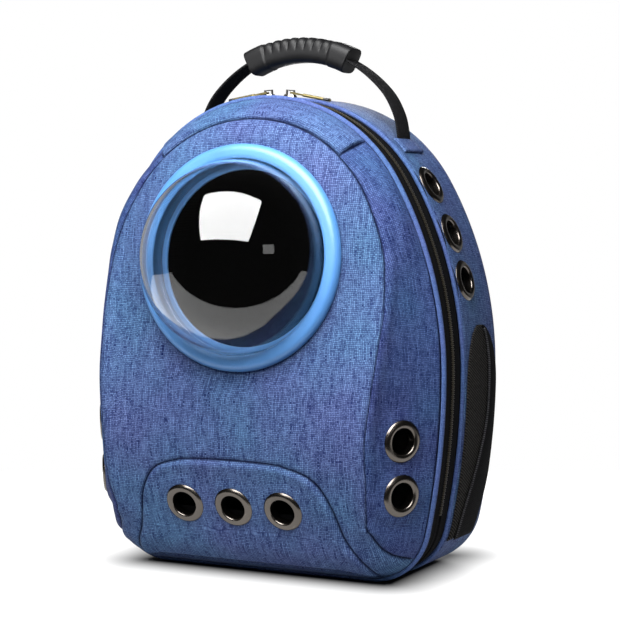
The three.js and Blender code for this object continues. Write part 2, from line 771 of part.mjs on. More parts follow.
function gripGeometry() {
  const steps = Math.round(ribCount * gripStepsPerRib / ribbedShare);
  const path = Array.from({ length: steps + 1 }, (_, n) => {
    const angle = mix(-gripHalfAngle, gripHalfAngle, n / steps);
    return new THREE.Vector2(gripRadius * Math.sin(angle), gripCentreZ + gripRadius * Math.cos(angle));
  });
  const slot = flatSweep(handlePath(0.05), handleY, () => strip(webThickness + 2 * gap, webWidth + 2 * gap));
  return toGeometry(toSolid(flatSweep(path, handleY, gripSection)).subtract(toSolid(slot)));
}

add('handle_grip', gripGeometry(), rubber);
add('handle_webbing', flatSweep(webbingPath(), handleY, () => strip(webThickness, webWidth)), webbing);

const tabThickness = 3;
const tabLength = 16;
const tabWidth = webWidth + 14;
for (const [sideName, side] of [['left', -1], ['right', 1]]) {
  const start = radians(webBaseAngle) + (4 * gap) / crownRadius;
  const path = Array.from({ length: 5 }, (_, n) => {
    const point = crownPoint(start + (tabLength * n) / 4 / crownRadius, gap + tabThickness / 2);
    return new THREE.Vector2(side * point.x, point.y);
  });
  add(`handle_tab_${sideName}`, flatSweep(path, handleY, () => strip(tabThickness, tabWidth)), fabric);
}

// Zip sliders with hinged pulls, on the coil at the top of the arch

const coilOut = -(coilBase - coilHeight);
const sliderLift = coilOut + gap;
const pinRadius = 0.85;
const pinHeight = sliderPlate + bridgeWindow / 2;
const bridgeWidth = 2;
const pinOffset = bridgeLength / 2 - 1.1 - pinRadius - gap;

function box(width, depth, height, x, y, z) {
  return toSolid(new THREE.BoxGeometry(width, depth, height).translate(x, y, z));
}

// The slider along +X: a plate with a bridge that holds the pull's cross pin
function sliderSolid() {
  const plate = new THREE.CylinderGeometry(sliderWidth / 2 * 0.8, sliderWidth / 2, sliderPlate, 8, 1)
    .rotateX(Math.PI / 2).scale(sliderLength / sliderWidth, 1, 1).translate(0, 0, sliderPlate / 2);
  const barHeight = sliderPlate + bridgeWindow + bridgeBar;
  const hoopOuter = box(bridgeLength, bridgeWidth, barHeight - 1, 0, 0, (barHeight - 1) / 2 + 1);
  const hoopInner = box(bridgeLength - 2.2, bridgeWidth * 2, bridgeWindow, 0, 0, sliderPlate + bridgeWindow / 2);
  return toSolid(plate).add(hoopOuter.subtract(hoopInner));
}

// The pull along +X from its pin: two arms beside the bridge and a flat tab with a hole
function pullSolid() {
  const armOffset = bridgeWidth / 2 + 2 * gap + 0.6;
  const armReach = bridgeLength / 2 + 4;
  const pin = toSolid(new THREE.CylinderGeometry(pinRadius, pinRadius, 2 * armOffset, 10));
  const arms = [-1, 1].map((side) => box(
    armReach + pinRadius, 1.2, 2 * pinRadius, (armReach - pinRadius) / 2, side * armOffset, 0));
  const tabStart = armReach - 1;
  const shape = new THREE.Shape();
  const half = pullWidth / 2;
  shape.moveTo(tabStart, -armOffset - 0.6);
  shape.lineTo(pullLength * 0.5, -half);
  shape.lineTo(pullLength - half, -half);
  shape.absarc(pullLength - half, 0, half, -Math.PI / 2, Math.PI / 2, false);
  shape.lineTo(pullLength * 0.5, half);
  shape.lineTo(tabStart, armOffset + 0.6);
  shape.closePath();
  const hole = new THREE.Path();
  hole.absarc(pullLength - half, 0, half * 0.45, 0, Math.PI * 2, true);
  shape.holes.push(hole);
  const tab = new THREE.ExtrudeGeometry(shape, { depth: pullThickness, bevelEnabled: false, curveSegments: 6 })
    .translate(0, 0, -pullThickness / 2);
  return pin.add(arms[0]).add(arms[1]).add(toSolid(tab));
}

for (const [sideName, side] of [['left', -1], ['right', 1]]) {
  const x = sliderMiddle + (side * sliderSpacing) / 2;
  const slope = Math.asin(x / crownRadius);
  const base = crownPoint(slope, sliderLift);
  const frame = new THREE.Matrix4().makeRotationY(slope).setPosition(base.x, coilY, base.y);
  const facing = new THREE.Matrix4().makeScale(side, 1, 1);
  const slider = toGeometry(sliderSolid().transform(facing.elements));
  add(`zip_slider_${sideName}`, slider.applyMatrix4(frame), gunmetal);
  const droop = new THREE.Matrix4().makeRotationY(side * radians(pullDroop))
    .setPosition(side * pinOffset, 0, pinHeight);
  const pull = toGeometry(pullSolid().transform(facing.elements));
  add(`zip_pull_${sideName}`, pull.applyMatrix4(droop).applyMatrix4(frame), oldBrass);
}

// Back: a padded panel and two shoulder straps with ladder buckles

const padStart = rearBack + gap;
const padBack = padStart + padThickness;
const padRows = [
  { inset: 2, y: 0 },
  { inset: 0, y: 0.45 },
  { inset: 3, y: 0.85 },
  { inset: 10, y: 1 },
];
add('back_pad', gridSolid(padRows.map(({ inset, y }) => stations.map((station) => place(
  station, padInset + inset, padStart + padThickness * y))), false), mesh);

// Sweeps a strip along a 3-D path; its flat side keeps to the X direction
function ribbon(points, width, thickness, steps, rounding) {
  const curve = new THREE.CatmullRomCurve3(points);
  const rings = Array.from({ length: steps + 1 }, (_, n) => {
    const share = n / steps;
    const point = curve.getPointAt(share);
    const along = curve.getTangentAt(share);
    const across = new THREE.Vector3(1, 0, 0).addScaledVector(along, -along.x).normalize();
    const out = new THREE.Vector3().crossVectors(across, along);
    const [w, t] = [width / 2, thickness / 2];
    const section = [[-w, -t * rounding], [-w, t * rounding], [-w * 0.8, t], [w * 0.8, t],
      [w, t * rounding], [w, -t * rounding], [w * 0.8, -t], [-w * 0.8, -t]];
    return section.map(([a, b]) => point.clone().addScaledVector(across, a).addScaledVector(out, b));
  });
  return gridSolid(rings, false);
}

// Path of a strap pad: x as a share of bodyWidth, behind as a share of strapReach, z as a share of bodyHeight
const strapPath = [
  { x: 0.14, behind: 0.02, height: 0.852 },
  { x: 0.14, behind: 0.3, height: 0.852 },
  { x: 0.146, behind: 0.8, height: 0.83 },
  { x: 0.156, behind: 1.033, height: 0.76 },
  { x: 0.168, behind: 1.1, height: 0.67 },
  { x: 0.182, behind: 1, height: 0.56 },
  { x: 0.198, behind: 0.667, height: 0.46 },
  { x: 0.203, behind: 0.5, height: 0.41 },
  { x: 0.203, behind: 0.5, height: 0.385 },
];

// Path of the webbing below it, as shares of the way from the buckle to the anchor on the back pad
const strapWebPath = [
  { across: 0, drop: 0, near: 0 },
  { across: 0, drop: 0.3, near: 0.05 },
  { across: 0.3, drop: 0.55, near: 0.35 },
  { across: 0.7, drop: 0.8, near: 0.85 },
  { across: 1, drop: 1, near: 1 },
];
const strapAnchor = { x: 0.312, height: 0.135 };

const behindPad = (rows, side) => rows.map(({ x, behind, height }) => new THREE.Vector3(
  side * x * bodyWidth, padBack + behind * strapReach, height * bodyHeight));

// A frame with two slots, flat in XZ
function buckleGeometry() {
  const [w, h] = [buckleWidth / 2, buckleHeight / 2];
  const corners = [[-w, -h], [w, -h], [w * 0.9, h], [-w * 0.9, h]];
  const shape = new THREE.Shape(corners.map(([x, y]) => new THREE.Vector2(x, y)));
  for (const middle of [-h * 0.42, h * 0.42]) {
    const [slotHalf, slotHeight] = [webWidth / 2 + 1, h * 0.2];
    shape.holes.push(new THREE.Path([
      [-slotHalf, middle - slotHeight], [-slotHalf, middle + slotHeight],
      [slotHalf, middle + slotHeight], [slotHalf, middle - slotHeight],
    ].map(([x, y]) => new THREE.Vector2(x, y))));
  }
  return new THREE.ExtrudeGeometry(shape, { depth: buckleThickness, bevelEnabled: false })
    .translate(0, 0, -buckleThickness / 2).rotateX(Math.PI / 2);
}

for (const [sideName, side] of [['left', -1], ['right', 1]]) {
  const strapLine = behindPad(strapPath, side);
  add(`shoulder_strap_${sideName}`, ribbon(strapLine, strapWidth, strapThickness, 12, 0.5), mesh);
  const end = strapLine.at(-1);
  const from = new THREE.Vector3(
    end.x, end.y - (buckleThickness + webThickness) / 2 - gap, end.z - gap - buckleHeight * 0.2);
  const to = new THREE.Vector3(
    side * strapAnchor.x * bodyWidth, padBack + 2 * gap + webThickness / 2, strapAnchor.height * bodyHeight);
  const webLine = strapWebPath.map(({ across, drop, near }) => new THREE.Vector3(
    mix(from.x, to.x, across), mix(from.y, to.y, near), mix(from.z, to.z, drop)));
  add(`strap_webbing_${sideName}`, ribbon(webLine, webWidth, webThickness, 8, 0.9), webbing);
  const buckle = asPlain(buckleGeometry());
  buckle.translate(end.x, end.y, end.z - buckleHeight / 2 - gap);
  add(`strap_buckle_${sideName}`, buckle, buckleResin);
}

// The origin moves to the middle of the rear shell's flat base
group.position.y = -(rearStart + edgeStart) / 2;

export default group;
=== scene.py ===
"""Looks of the bubble pet carrier backpack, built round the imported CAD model.

Blender works in metres. The shapes below are worked out in millimetres in the CAD source's own frame, where
y = 0 is the middle of the front piping, and to_metres() moves them into the row frame.
"""
import math

import bmesh
import bpy
import numpy as np
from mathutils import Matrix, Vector, kdtree


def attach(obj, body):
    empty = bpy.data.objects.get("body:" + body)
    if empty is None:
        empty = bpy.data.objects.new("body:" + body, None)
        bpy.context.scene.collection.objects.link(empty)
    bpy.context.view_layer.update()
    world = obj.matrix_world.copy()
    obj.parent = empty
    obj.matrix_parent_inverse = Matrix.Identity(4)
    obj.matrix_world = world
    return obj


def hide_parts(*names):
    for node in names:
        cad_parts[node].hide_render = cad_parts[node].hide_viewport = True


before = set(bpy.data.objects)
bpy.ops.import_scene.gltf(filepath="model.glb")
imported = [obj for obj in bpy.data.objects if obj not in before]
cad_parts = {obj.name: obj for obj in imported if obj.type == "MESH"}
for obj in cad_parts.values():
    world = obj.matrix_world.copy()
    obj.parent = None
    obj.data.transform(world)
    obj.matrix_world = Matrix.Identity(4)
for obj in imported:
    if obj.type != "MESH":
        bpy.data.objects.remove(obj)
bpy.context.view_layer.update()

# Sizes, as in the CAD source, in millimetres and degrees
BODY_HEIGHT = 415
BODY_WIDTH = 339
CROWN_RADIUS = 145
CROWN_SWEEP = 60
LOWER_FLANK_RADIUS = 650
BASE_CORNER_RADIUS = 56
FRONT_DEPTH = 70
REAR_DEPTH = 95
REAR_EDGE_RADIUS = 30
WALL = 4
GAP = 0.3
PIPING_RADIUS = 2.7
REAR_PIPING_RADIUS = 1.8
ZIP_BAND_WIDTH = 36
TAPE_INSET = 2.8
TAPE_THICKNESS = 1.5
WINDOW_HEIGHT = 276
WINDOW_LEAN = 5
WINDOW_SEAT_DEPTH = 47.5
RING_RADIUS = 96.5
RING_INNER_RADIUS = 83.3
RING_HEIGHT = 9
DOME_RADIUS = 83
DOME_THICKNESS = 2.2
DOME_RISE = 3
INNER_RING_RADIUS = 76
WINDOW_HOLE_RADIUS = 88
VENT_FLANGE_RADIUS = 18
VENT_HOLE_RADIUS = 11
GRIP_LENGTH = 99
GRIP_RADIUS = 112
GRIP_RISE = 43.2
GRIP_WIDTH = 27
GRIP_THICKNESS = 22.5
RIB_COUNT = 8
WEB_WIDTH = 25
WEB_THICKNESS = 2
WEB_BASE_ANGLE = 43
PAD_THICKNESS = 12
PAD_INSET = 40
STRAP_WIDTH = 60
STRAP_THICKNESS = 12

TAPE_START = PIPING_RADIUS + GAP
TAPE_END = TAPE_START + ZIP_BAND_WIDTH
COIL_Y = (TAPE_START + TAPE_END) / 2
REAR_PIPING_Y = TAPE_END + REAR_PIPING_RADIUS + GAP
REAR_START = REAR_PIPING_Y + REAR_PIPING_RADIUS + GAP
EDGE_START = REAR_START + REAR_DEPTH - REAR_EDGE_RADIUS
REAR_BACK = REAR_START + REAR_DEPTH
SHIFT_Y = -(REAR_START + EDGE_START) / 2

BACK_MIDDLE = 0.47
SIDES = (("left", -1), ("right", 1))

# Edge of the front panel: place along the outline (0 the base's middle, 1 the arch's top), inset as a
# share of the body's width, depth as a share of the front's, outward swell as a share of the body's width
PANEL_EDGE = np.array([
    (0, 0.124, 0.69, 0.024),
    (0.157, 0.124, 0.66, 0.024),
    (0.215, 0.106, 0.63, 0.020),
    (0.28, 0.106, 0.74, 0.012),
    (0.33, 0.109, 0.88, 0.003),
    (0.41, 0.121, 0.96, -0.004),
    (0.47, 0.115, 0.92, -0.006),
    (0.53, 0.105, 0.82, -0.006),
    (0.585, 0.088, 0.70, -0.002),
    (0.625, 0.077, 0.63, 0.004),
    (0.665, 0.065, 0.57, 0.012),
    (0.715, 0.059, 0.53, 0.018),
    (0.76, 0.058, 0.48, 0.014),
    (0.828, 0.059, 0.44, 0.002),
    (0.833, 0.059, 0.435, 0.014),
    (0.9, 0.060, 0.39, 0.012),
    (1, 0.062, 0.37, 0.008),
])
# Middle of the front panel: share of the height, share of the front's depth
PANEL_PROFILE = np.array([
    (0, 0),
    (0.101, 0.62),
    (0.133, 0.72),
    (0.161, 0.79),
    (0.205, 0.88),
    (0.253, 0.97),
    (0.313, 1.0),
    (0.386, 0.96),
    (0.439, 0.9),
    (0.496, 0.83),
    (0.554, 0.77),
    (0.665, 0.7),
    (0.723, 0.67),
    (0.839, 0.6),
    (0.901, 0.54),
    (0.925, 0.47),
    (0.95, 0.37),
])
# Raised field: share of the height, half width as a share of the body's width
RELIEF_BELL = np.array([
    (0, 0.345),
    (0.04, 0.328),
    (0.065, 0.312),
    (0.085, 0.298),
    (0.108, 0.286),
    (0.14, 0.276),
    (0.171, 0.265),
    (0.202, 0.246),
    (0.227, 0.218),
    (0.246, 0.15),
    (0.253, 0),
])


def curve_through(rows, column, places):
    """Reads a column of a table at some places, on a curve through its rows that never overshoots them."""
    x, y = rows[:, 0], rows[:, column]
    step = np.diff(x)
    slope = np.diff(y) / step
    tangent = np.zeros(len(x))
    same_way = slope[:-1] * slope[1:] > 0
    weight = 2 * slope[:-1] * slope[1:] / np.where(same_way, slope[:-1] + slope[1:], 1)
    tangent[1:-1] = np.where(same_way, weight, 0)
    tangent[0], tangent[-1] = slope[0], slope[-1]
    places = np.clip(places, x[0], x[-1])
    row = np.clip(np.searchsorted(x, places, side="right") - 1, 0, len(step) - 1)
    t = (places - x[row]) / step[row]
    h = step[row]
    return (
        (2 * t**3 - 3 * t**2 + 1) * y[row]
        + (t**3 - 2 * t**2 + t) * h * tangent[row]
        + (3 * t**2 - 2 * t**3) * y[row + 1]
        + (t**3 - t**2) * h * tangent[row + 1]
    )


def smooth(x, low, high):
    t = np.clip((x - low) / (high - low), 0, 1)
    return t * t * (3 - 2 * t)


def mix(a, b, share):
    return a + (b - a) * share


def unit(v):
    return v / np.linalg.norm(v, axis=-1, keepdims=True)


def to_metres(points):
    return (np.asarray(points, float) + (0, SHIFT_Y, 0)) * 0.001


def turns(sides, offset=0.0):
    """Angles all round a section."""
    return (np.arange(sides) + offset) * 2 * math.pi / sides


def quarter_round(share):
    """Rises from 0 to 1 along a quarter of a circle."""
    return math.sqrt(max(0.0, 1 - (1 - min(1, share)) ** 2))


def walked_ways(path):
    """The way walked to each point of a path."""
    steps = np.linalg.norm(np.diff(np.asarray(path, float), axis=0), axis=1)
    return np.concatenate([[0], np.cumsum(steps)])


def flat_places(across, along):
    """Places on flat cloth for a grid of points, from a value for each column and one for each row."""
    return np.stack(np.broadcast_arrays(across, np.asarray(along)[:, None]), axis=-1)


# The body outline, as arcs

sweep = math.radians(CROWN_SWEEP)
crown_centre = BODY_HEIGHT - CROWN_RADIUS
flank_radius = (BODY_WIDTH / 2 - CROWN_RADIUS * math.sin(sweep)) / (1 - math.sin(sweep))
waist_height = crown_centre + (CROWN_RADIUS - flank_radius) * math.cos(sweep)
lower_centre_x = BODY_WIDTH / 2 - LOWER_FLANK_RADIUS
corner_x = lower_centre_x + math.sqrt(
    (LOWER_FLANK_RADIUS - BASE_CORNER_RADIUS) ** 2 - (waist_height - BASE_CORNER_RADIUS) ** 2)
corner_angle = math.atan2(BASE_CORNER_RADIUS - waist_height, corner_x - lower_centre_x)
ARCS = [
    (corner_x, BASE_CORNER_RADIUS, BASE_CORNER_RADIUS, -math.pi / 2, corner_angle),
    (lower_centre_x, waist_height, LOWER_FLANK_RADIUS, corner_angle, 0),
    (BODY_WIDTH / 2 - flank_radius, waist_height, flank_radius, 0, math.pi / 2 - sweep),
    (0, crown_centre, CROWN_RADIUS, math.pi / 2 - sweep, math.pi / 2),
]
arc_lengths = [corner_x] + [radius * (end - start) for _, _, radius, start, end in ARCS]
HALF_LENGTH = sum(arc_lengths)


class Outline:
    """Points of the outline with their outward normals. at runs from 0 at the base to 1 at the top of the
    arch, and run is the signed way along the outline from the top, in millimetres."""

    def __init__(self, at, side):
        at = np.atleast_1d(np.asarray(at, float))
        side = np.broadcast_to(np.asarray(side, float), at.shape)
        length = at * HALF_LENGTH
        self.x = np.minimum(length, corner_x)
        self.z = np.zeros_like(length)
        self.nx = np.zeros_like(length)
        self.nz = -np.ones_like(length)
        start = corner_x
        for (cx, cz, radius, low, high), extent in zip(ARCS, arc_lengths[1:]):
            inside = length > start
            angle = np.clip(low + (length - start) / radius, low, high)
            self.x = np.where(inside, cx + radius * np.cos(angle), self.x)
            self.z = np.where(inside, cz + radius * np.sin(angle), self.z)
            self.nx = np.where(inside, np.cos(angle), self.nx)
            self.nz = np.where(inside, np.sin(angle), self.nz)
            start += extent
        self.x = self.x * side
        self.nx = self.nx * side
        self.at = at
        self.side = side
        self.run = (HALF_LENGTH - length) * side

    def place(self, inset, y):
        y = np.broadcast_to(y, self.x.shape)
        return np.stack([self.x - self.nx * inset, y, self.z - self.nz * inset], axis=-1)


def loop(per_half, extra=()):
    """The whole outline, closed: up the right side from the base and down the left."""
    up = np.unique(np.round(np.concatenate([np.linspace(0, 1, per_half + 1), extra]), 6))
    at = np.concatenate([up, up[-2:0:-1]])
    side = np.concatenate([np.ones(len(up)), -np.ones(len(up) - 2)])
    return Outline(at, side)


def share_at_height(height):
    at = np.linspace(0, 1, 2001)
    line = Outline(at, 1)
    flank = line.nx > 0.4
    return float(np.interp(height, line.z[flank], at[flank]))


# Making meshes


def grid_faces(rows, columns, closed_rows=False):
    """Quads of a grid that closes across its columns. Point (i, j) has the number i * columns + j."""
    i = np.arange(rows if closed_rows else rows - 1)
    i, j = [a.ravel() for a in np.meshgrid(i, np.arange(columns), indexing="ij")]
    across, down = (j + 1) % columns, (i + 1) % rows
    corners = [i * columns + j, i * columns + across, down * columns + across, down * columns + j]
    return np.stack(corners, axis=1)


def end_caps(rows, columns):
    last = (rows - 1) * columns
    return [list(range(columns)), list(range(last + columns - 1, last - 1, -1))]


def capped_faces(rows, columns):
    return grid_faces(rows, columns).tolist() + end_caps(rows, columns)


def turn_outwards(mesh):
    made = bmesh.new()
    made.from_mesh(mesh)
    bmesh.ops.recalc_face_normals(made, faces=made.faces)
    made.to_mesh(mesh)
    made.free()


def set_cloth(mesh, flat):
    """Stores each point's place on its flat cloth, in metres, which the weaves follow."""
    layer = mesh.attributes.new("cloth", "FLOAT_VECTOR", "POINT")
    layer.data.foreach_set("vector", np.column_stack([flat, np.zeros(len(flat))]).ravel())


def build(name, points, faces, materials, node=None, body="shell", cloth=None, attributes=None):
    """Makes a closed piece from points in millimetres, in place of a CAD node if one is named. cloth is each
    point's place on its flat cloth, in millimetres."""
    mesh = bpy.data.meshes.new(name)
    points = to_metres(np.reshape(points, (-1, 3)))
    mesh.from_pydata(points.tolist(), [], [tuple(int(n) for n in face) for face in faces])
    if cloth is not None:
        set_cloth(mesh, np.reshape(cloth, (-1, 2)) * 0.001)
    for key, values in (attributes or {}).items():
        layer = mesh.attributes.new(key, "FLOAT", "POINT")
        layer.data.foreach_set("value", np.asarray(values, float).ravel())
    for material in materials if isinstance(materials, list) else [materials]:
        mesh.materials.append(material)
    mesh.validate()
    mesh.update()
    mesh.shade_smooth()
    turn_outwards(mesh)
    piece = bpy.data.objects.new(name, mesh)
    bpy.context.scene.collection.objects.link(piece)
    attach(piece, body)
    if node:
        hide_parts(node)
    return piece


def mesh_points(mesh):
    points = np.empty(len(mesh.vertices) * 3)
    mesh.vertices.foreach_get("co", points)
    return points.reshape(-1, 3)


def source_points(node):
    """A CAD piece's points, in millimetres in the source's frame."""
    return mesh_points(node.data) * 1000 - (0, SHIFT_Y, 0)


# Materials


class Nodes:
    """A tree of shader nodes under construction: each call adds one node and gives its output."""

    def __init__(self, tree):
        self.tree = tree

    def node(self, kind, output=0, inputs=(), **settings):
        made = self.tree.nodes.new("ShaderNode" + kind)
        for key, value in settings.items():
            setattr(made, key, value)
        for key, value in dict(inputs).items():
            self.set(made.inputs[key], value)
        return made.outputs[output]

    def set(self, socket, value):
        if isinstance(value, bpy.types.NodeSocket):
            self.tree.links.new(value, socket)
        elif isinstance(value, tuple) and len(value) == 3 and socket.type == "RGBA":
            socket.default_value = (*value, 1)
        else:
            socket.default_value = value

    def math(self, operation, a, b=0.0, clamp=False):
        return self.node("Math", operation=operation, use_clamp=clamp, inputs={0: a, 1: b})

    def noise(self, vector, scale, detail=2.0, roughness=0.5):
        inputs = {"Vector": vector, "Scale": scale, "Detail": detail, "Roughness": roughness}
        return self.node("TexNoise", inputs=inputs)

    def range(self, value, low, high, to_low=0.0, to_high=1.0, **settings):
        inputs = {"Value": value, "From Min": low, "From Max": high, "To Min": to_low, "To Max": to_high}
        return self.node("MapRange", inputs=inputs, **settings)

    def cloth_places(self):
        """Each point's place on its flat cloth: the whole vector, then its two parts."""
        cloth = self.node("Attribute", output=1, attribute_name="cloth")
        parts = self.node("SeparateXYZ", inputs={0: cloth}).node.outputs
        return cloth, parts[0], parts[1]

    def colour(self, share, a, b):
        return self.node("Mix", output=2, data_type="RGBA", inputs={0: share, 6: a, 7: b})

    def bump(self, height, distance, strength=0.8):
        return self.node("Bump", inputs={"Height": height, "Distance": distance, "Strength": strength})


class Shader(Nodes):
    """A material under construction, round its Principled BSDF."""

    def __init__(self, name):
        self.material = bpy.data.materials.new(name)
        self.material.use_nodes = True
        super().__init__(self.material.node_tree)
        self.surface = self.tree.nodes["Principled BSDF"]

    def finish(self, **sockets):
        for key, value in sockets.items():
            self.set(self.surface.inputs[key.replace("_", " ")], value)
        return self.material


# Painted shade in the grooves along the seams, the raised field's edge, the step and the rim: attribute,
# middle, half width, in millimetres
SEAM_SHADE_LINES = (("seam", 0.0, 1.15), ("field", -1.4, 1.1), ("step", -0.9, 1.1), ("rim", 0.0, 1.8))
SEAM_SHADE_COLOUR = (0.001, 0.002, 0.014)
SEAM_SHADE_STRENGTH = 0.93
UNDER_BASE_SHADE = 0.55


def paint_seam_shade(s, colour):
    """Darkens the sewn grooves and the strip below the seam round the base, as painted shade."""
    def attribute(key):
        return s.node("Attribute", output=2, attribute_name=key)

    dark = 0.0
    for key, middle, width in SEAM_SHADE_LINES:
        away = s.math("DIVIDE", s.math("ADD", attribute(key), -middle), width)
        line = s.math("EXPONENT", s.math("MULTIPLY", s.math("MULTIPLY", away, away), -1.0))
        dark = s.math("MAXIMUM", line, dark)
    # painted shade on the strip below the base seam, where the cloth turns under towards the floor
    under = s.range(attribute("rim"), 1.0, -3.0, 0.0, UNDER_BASE_SHADE)
    return s.colour(s.math("MAXIMUM", s.math("MULTIPLY", dark, SEAM_SHADE_STRENGTH), under), colour, SEAM_SHADE_COLOUR)


# Weave: how long a warp and a weft thread keep a colour, in threads, and how much the threads show as streaks
WARP_LENGTH = 14.0
WEFT_LENGTH = 4.0
WARP_SHARE = 0.62
STREAK_SHARE = 0.38


def weave(name, dark, light, pitch, depth=0.25, roughness=0.6, contrast=1.0, seams=False):
    """Plain-woven cloth whose threads change colour along their length. pitch is a thread's width in mm."""
    s = Shader(name)
    cloth, x, y = s.cloth_places()
    pitch = pitch * 0.001
    sway = s.math("MULTIPLY", s.noise(cloth, 60.0, 1.0), 0.004)
    u = s.math("DIVIDE", s.math("ADD", x, sway), pitch)
    v = s.math("DIVIDE", s.math("ADD", y, sway), pitch)
    warp_number, weft_number = s.math("FLOOR", u), s.math("FLOOR", v)

    def weigh(a, b, share):
        return s.math("ADD", s.math("MULTIPLY", a, 1 - share), s.math("MULTIPLY", b, share))

    def thread(across, along, length, seed):
        inputs = {0: s.math("MULTIPLY", across, 3.71), 1: s.math("DIVIDE", along, length), 2: seed}
        return s.noise(s.node("CombineXYZ", inputs=inputs), 1.0, 2.0, 0.65)

    warp = thread(warp_number, v, WARP_LENGTH, 0.0)
    weft = thread(weft_number, u, WEFT_LENGTH, 40.0)
    parity = s.math("MODULO", s.math("ABSOLUTE", s.math("ADD", warp_number, weft_number)), 2.0)
    woven = s.node("Mix", data_type="FLOAT", inputs={0: parity, 2: weft, 3: warp})
    value = weigh(woven, weigh(weft, warp, WARP_SHARE), STREAK_SHARE)
    drift = s.noise(cloth, 11.0, 2.0)
    for variation, amount in ((s.noise(cloth, 1100.0, 1.0), 0.3), (drift, 0.1)):
        value = s.math("ADD", value, s.math("MULTIPLY", s.math("ADD", variation, -0.5), amount))
    share = s.range(value, 0.5 - 0.23 / contrast, 0.5 + 0.23 / contrast)
    warmer, cooler = [tuple(np.multiply(light, tint)) for tint in ((1.12, 0.92, 1.0), (0.9, 1.08, 1.0))]
    pale = s.colour(s.range(drift, 0.35, 0.65), warmer, cooler)

    def ridge(place):
        return s.math("ABSOLUTE", s.math("SINE", s.math("MULTIPLY", place, math.pi)))

    crown = s.math("MULTIPLY", ridge(u), ridge(v))
    share = s.math("MULTIPLY", share, s.range(crown, 0.0, 0.7, 0.3, 1.3))
    colour = s.colour(share, dark, pale)
    # with seams, shade is painted into the sewn grooves and onto the strip under the base
    if seams:
        colour = paint_seam_shade(s, colour)
    over = s.node("Mix", data_type="FLOAT", inputs={0: parity, 2: ridge(v), 3: ridge(u)})
    height = s.math("ADD", over, s.math("MULTIPLY", value, 1.5))
    return s.finish(
        Base_Color=colour,
        Roughness=roughness,
        Specular_IOR_Level=0.05,
        Normal=s.bump(height, depth * 0.001),
    )


GENERATED_PLACE, OBJECT_PLACE = 0, 3


def plain(name, colour, roughness, metallic=0.0, grain=0.0, grain_scale=400.0, wear=0.0, **extra):
    """A smooth material with a fine grain, faint smudges in its gloss and a little colour variation."""
    s = Shader(name)
    place = s.node("TexCoord", output=OBJECT_PLACE)
    smudge = s.noise(place, 18.0, 3.0)
    darker = tuple(c * (0.88 - wear) for c in colour)
    lighter = tuple(min(1.0, c * 1.1) for c in colour)
    sockets = {
        "Base_Color": s.colour(s.range(smudge, 0.3, 0.7), darker, lighter),
        "Roughness": s.range(smudge, 0.25, 0.75, roughness * 0.85, roughness * 1.15),
        "Metallic": metallic,
        **extra,
    }
    if grain:
        sockets["Normal"] = s.bump(s.noise(place, grain_scale, 3.0), grain * 0.001, 0.6)
    return s.finish(**sockets)


def ribbed_cloth(name, dark, light, pitch, depth, slant=0.0, roughness=0.9):
    """Black ribbed cloth: fine ribs across its length, at a slant."""
    s = Shader(name)
    cloth, x, y = s.cloth_places()
    place = s.math("ADD", y, s.math("MULTIPLY", x, slant))
    rib = s.math("SINE", s.math("MULTIPLY", place, 2 * math.pi / (pitch * 0.001)))
    stretched = s.node("VectorMath", operation="MULTIPLY", inputs={0: cloth, 1: (700.0, 300.0, 1.0)})
    fleck = s.noise(stretched, 1.0, 2.0)
    shade = s.math("ADD", s.math("MULTIPLY", rib, 0.35), fleck)
    return s.finish(
        Base_Color=s.colour(s.range(shade, 0.2, 0.9), dark, light),
        Roughness=roughness,
        Specular_IOR_Level=0.06,
        Normal=s.bump(s.math("ADD", rib, s.math("MULTIPLY", fleck, 0.5)), depth * 0.001),
    )


DENIM = {"dark": (0.0015, 0.004, 0.05), "light": (0.1, 0.168, 0.325), "pitch": 1.5}
denim = weave("heathered_blue_cloth", **DENIM)
# the front panel's cloth, with painted shade along its seams
front_denim = weave("heathered_blue_cloth_seam_shaded", seams=True, **DENIM)
# A darker copy of the cloth for the front shell's side walls: painted shade, as the walls turn away from the
# light.
SHADED_SIDE_DENIM = {"dark": (0.001, 0.003, 0.045), "light": (0.072, 0.12, 0.27), "pitch": 1.5}
shaded_side_denim = weave("side_wall_shaded_cloth", seams=True, **SHADED_SIDE_DENIM)
piping_cloth = weave("piping_cloth", (0.015, 0.03, 0.12), (0.11, 0.18, 0.38), 0.9, contrast=0.7)
lining = weave("black_lining", (0.0015, 0.0015, 0.002), (0.004, 0.004, 0.0045), 0.8, roughness=0.95)
tape_cloth = ribbed_cloth("zip_tape_cloth", (0.001, 0.001, 0.0015), (0.007, 0.007, 0.008), 0.8, 0.15)
web_cloth = ribbed_cloth("webbing_cloth", (0.0015, 0.0015, 0.002), (0.016, 0.016, 0.017), 1.6, 0.3, 1.0)
mesh_cloth = ribbed_cloth("ribbed_mesh_cloth", (0.001, 0.001, 0.0012), (0.04, 0.038, 0.036), 2.6, 0.5, -0.55)
pocket_cloth = ribbed_cloth("pocket_cloth", (0.001, 0.001, 0.0014), (0.01, 0.01, 0.011), 1.4, 0.25, -0.55)
pad_cloth = weave("spacer_mesh_cloth", (0.006, 0.006, 0.007), (0.07, 0.07, 0.075), 2.0, depth=0.7,
                  contrast=0.8)
trim_cloth = ribbed_cloth("edge_binding", (0.004, 0.004, 0.005), (0.05, 0.05, 0.054), 1.8, 0.2)
ring_plastic = plain("blue_ring_plastic", (0.066, 0.2, 0.46), 0.38, grain=0.02, grain_scale=60.0,
                     Coat_Weight=0.3, Coat_Roughness=0.4)
gunmetal = plain("polished_gunmetal", (0.13, 0.116, 0.104), 0.24, 1.0, wear=0.1)
bright_steel = plain("bright_steel", (0.31, 0.295, 0.28), 0.3, 1.0, wear=0.2)
old_brass = plain("dark_brass", (0.2, 0.165, 0.07), 0.4, 0.85, grain=0.03, wear=0.15)
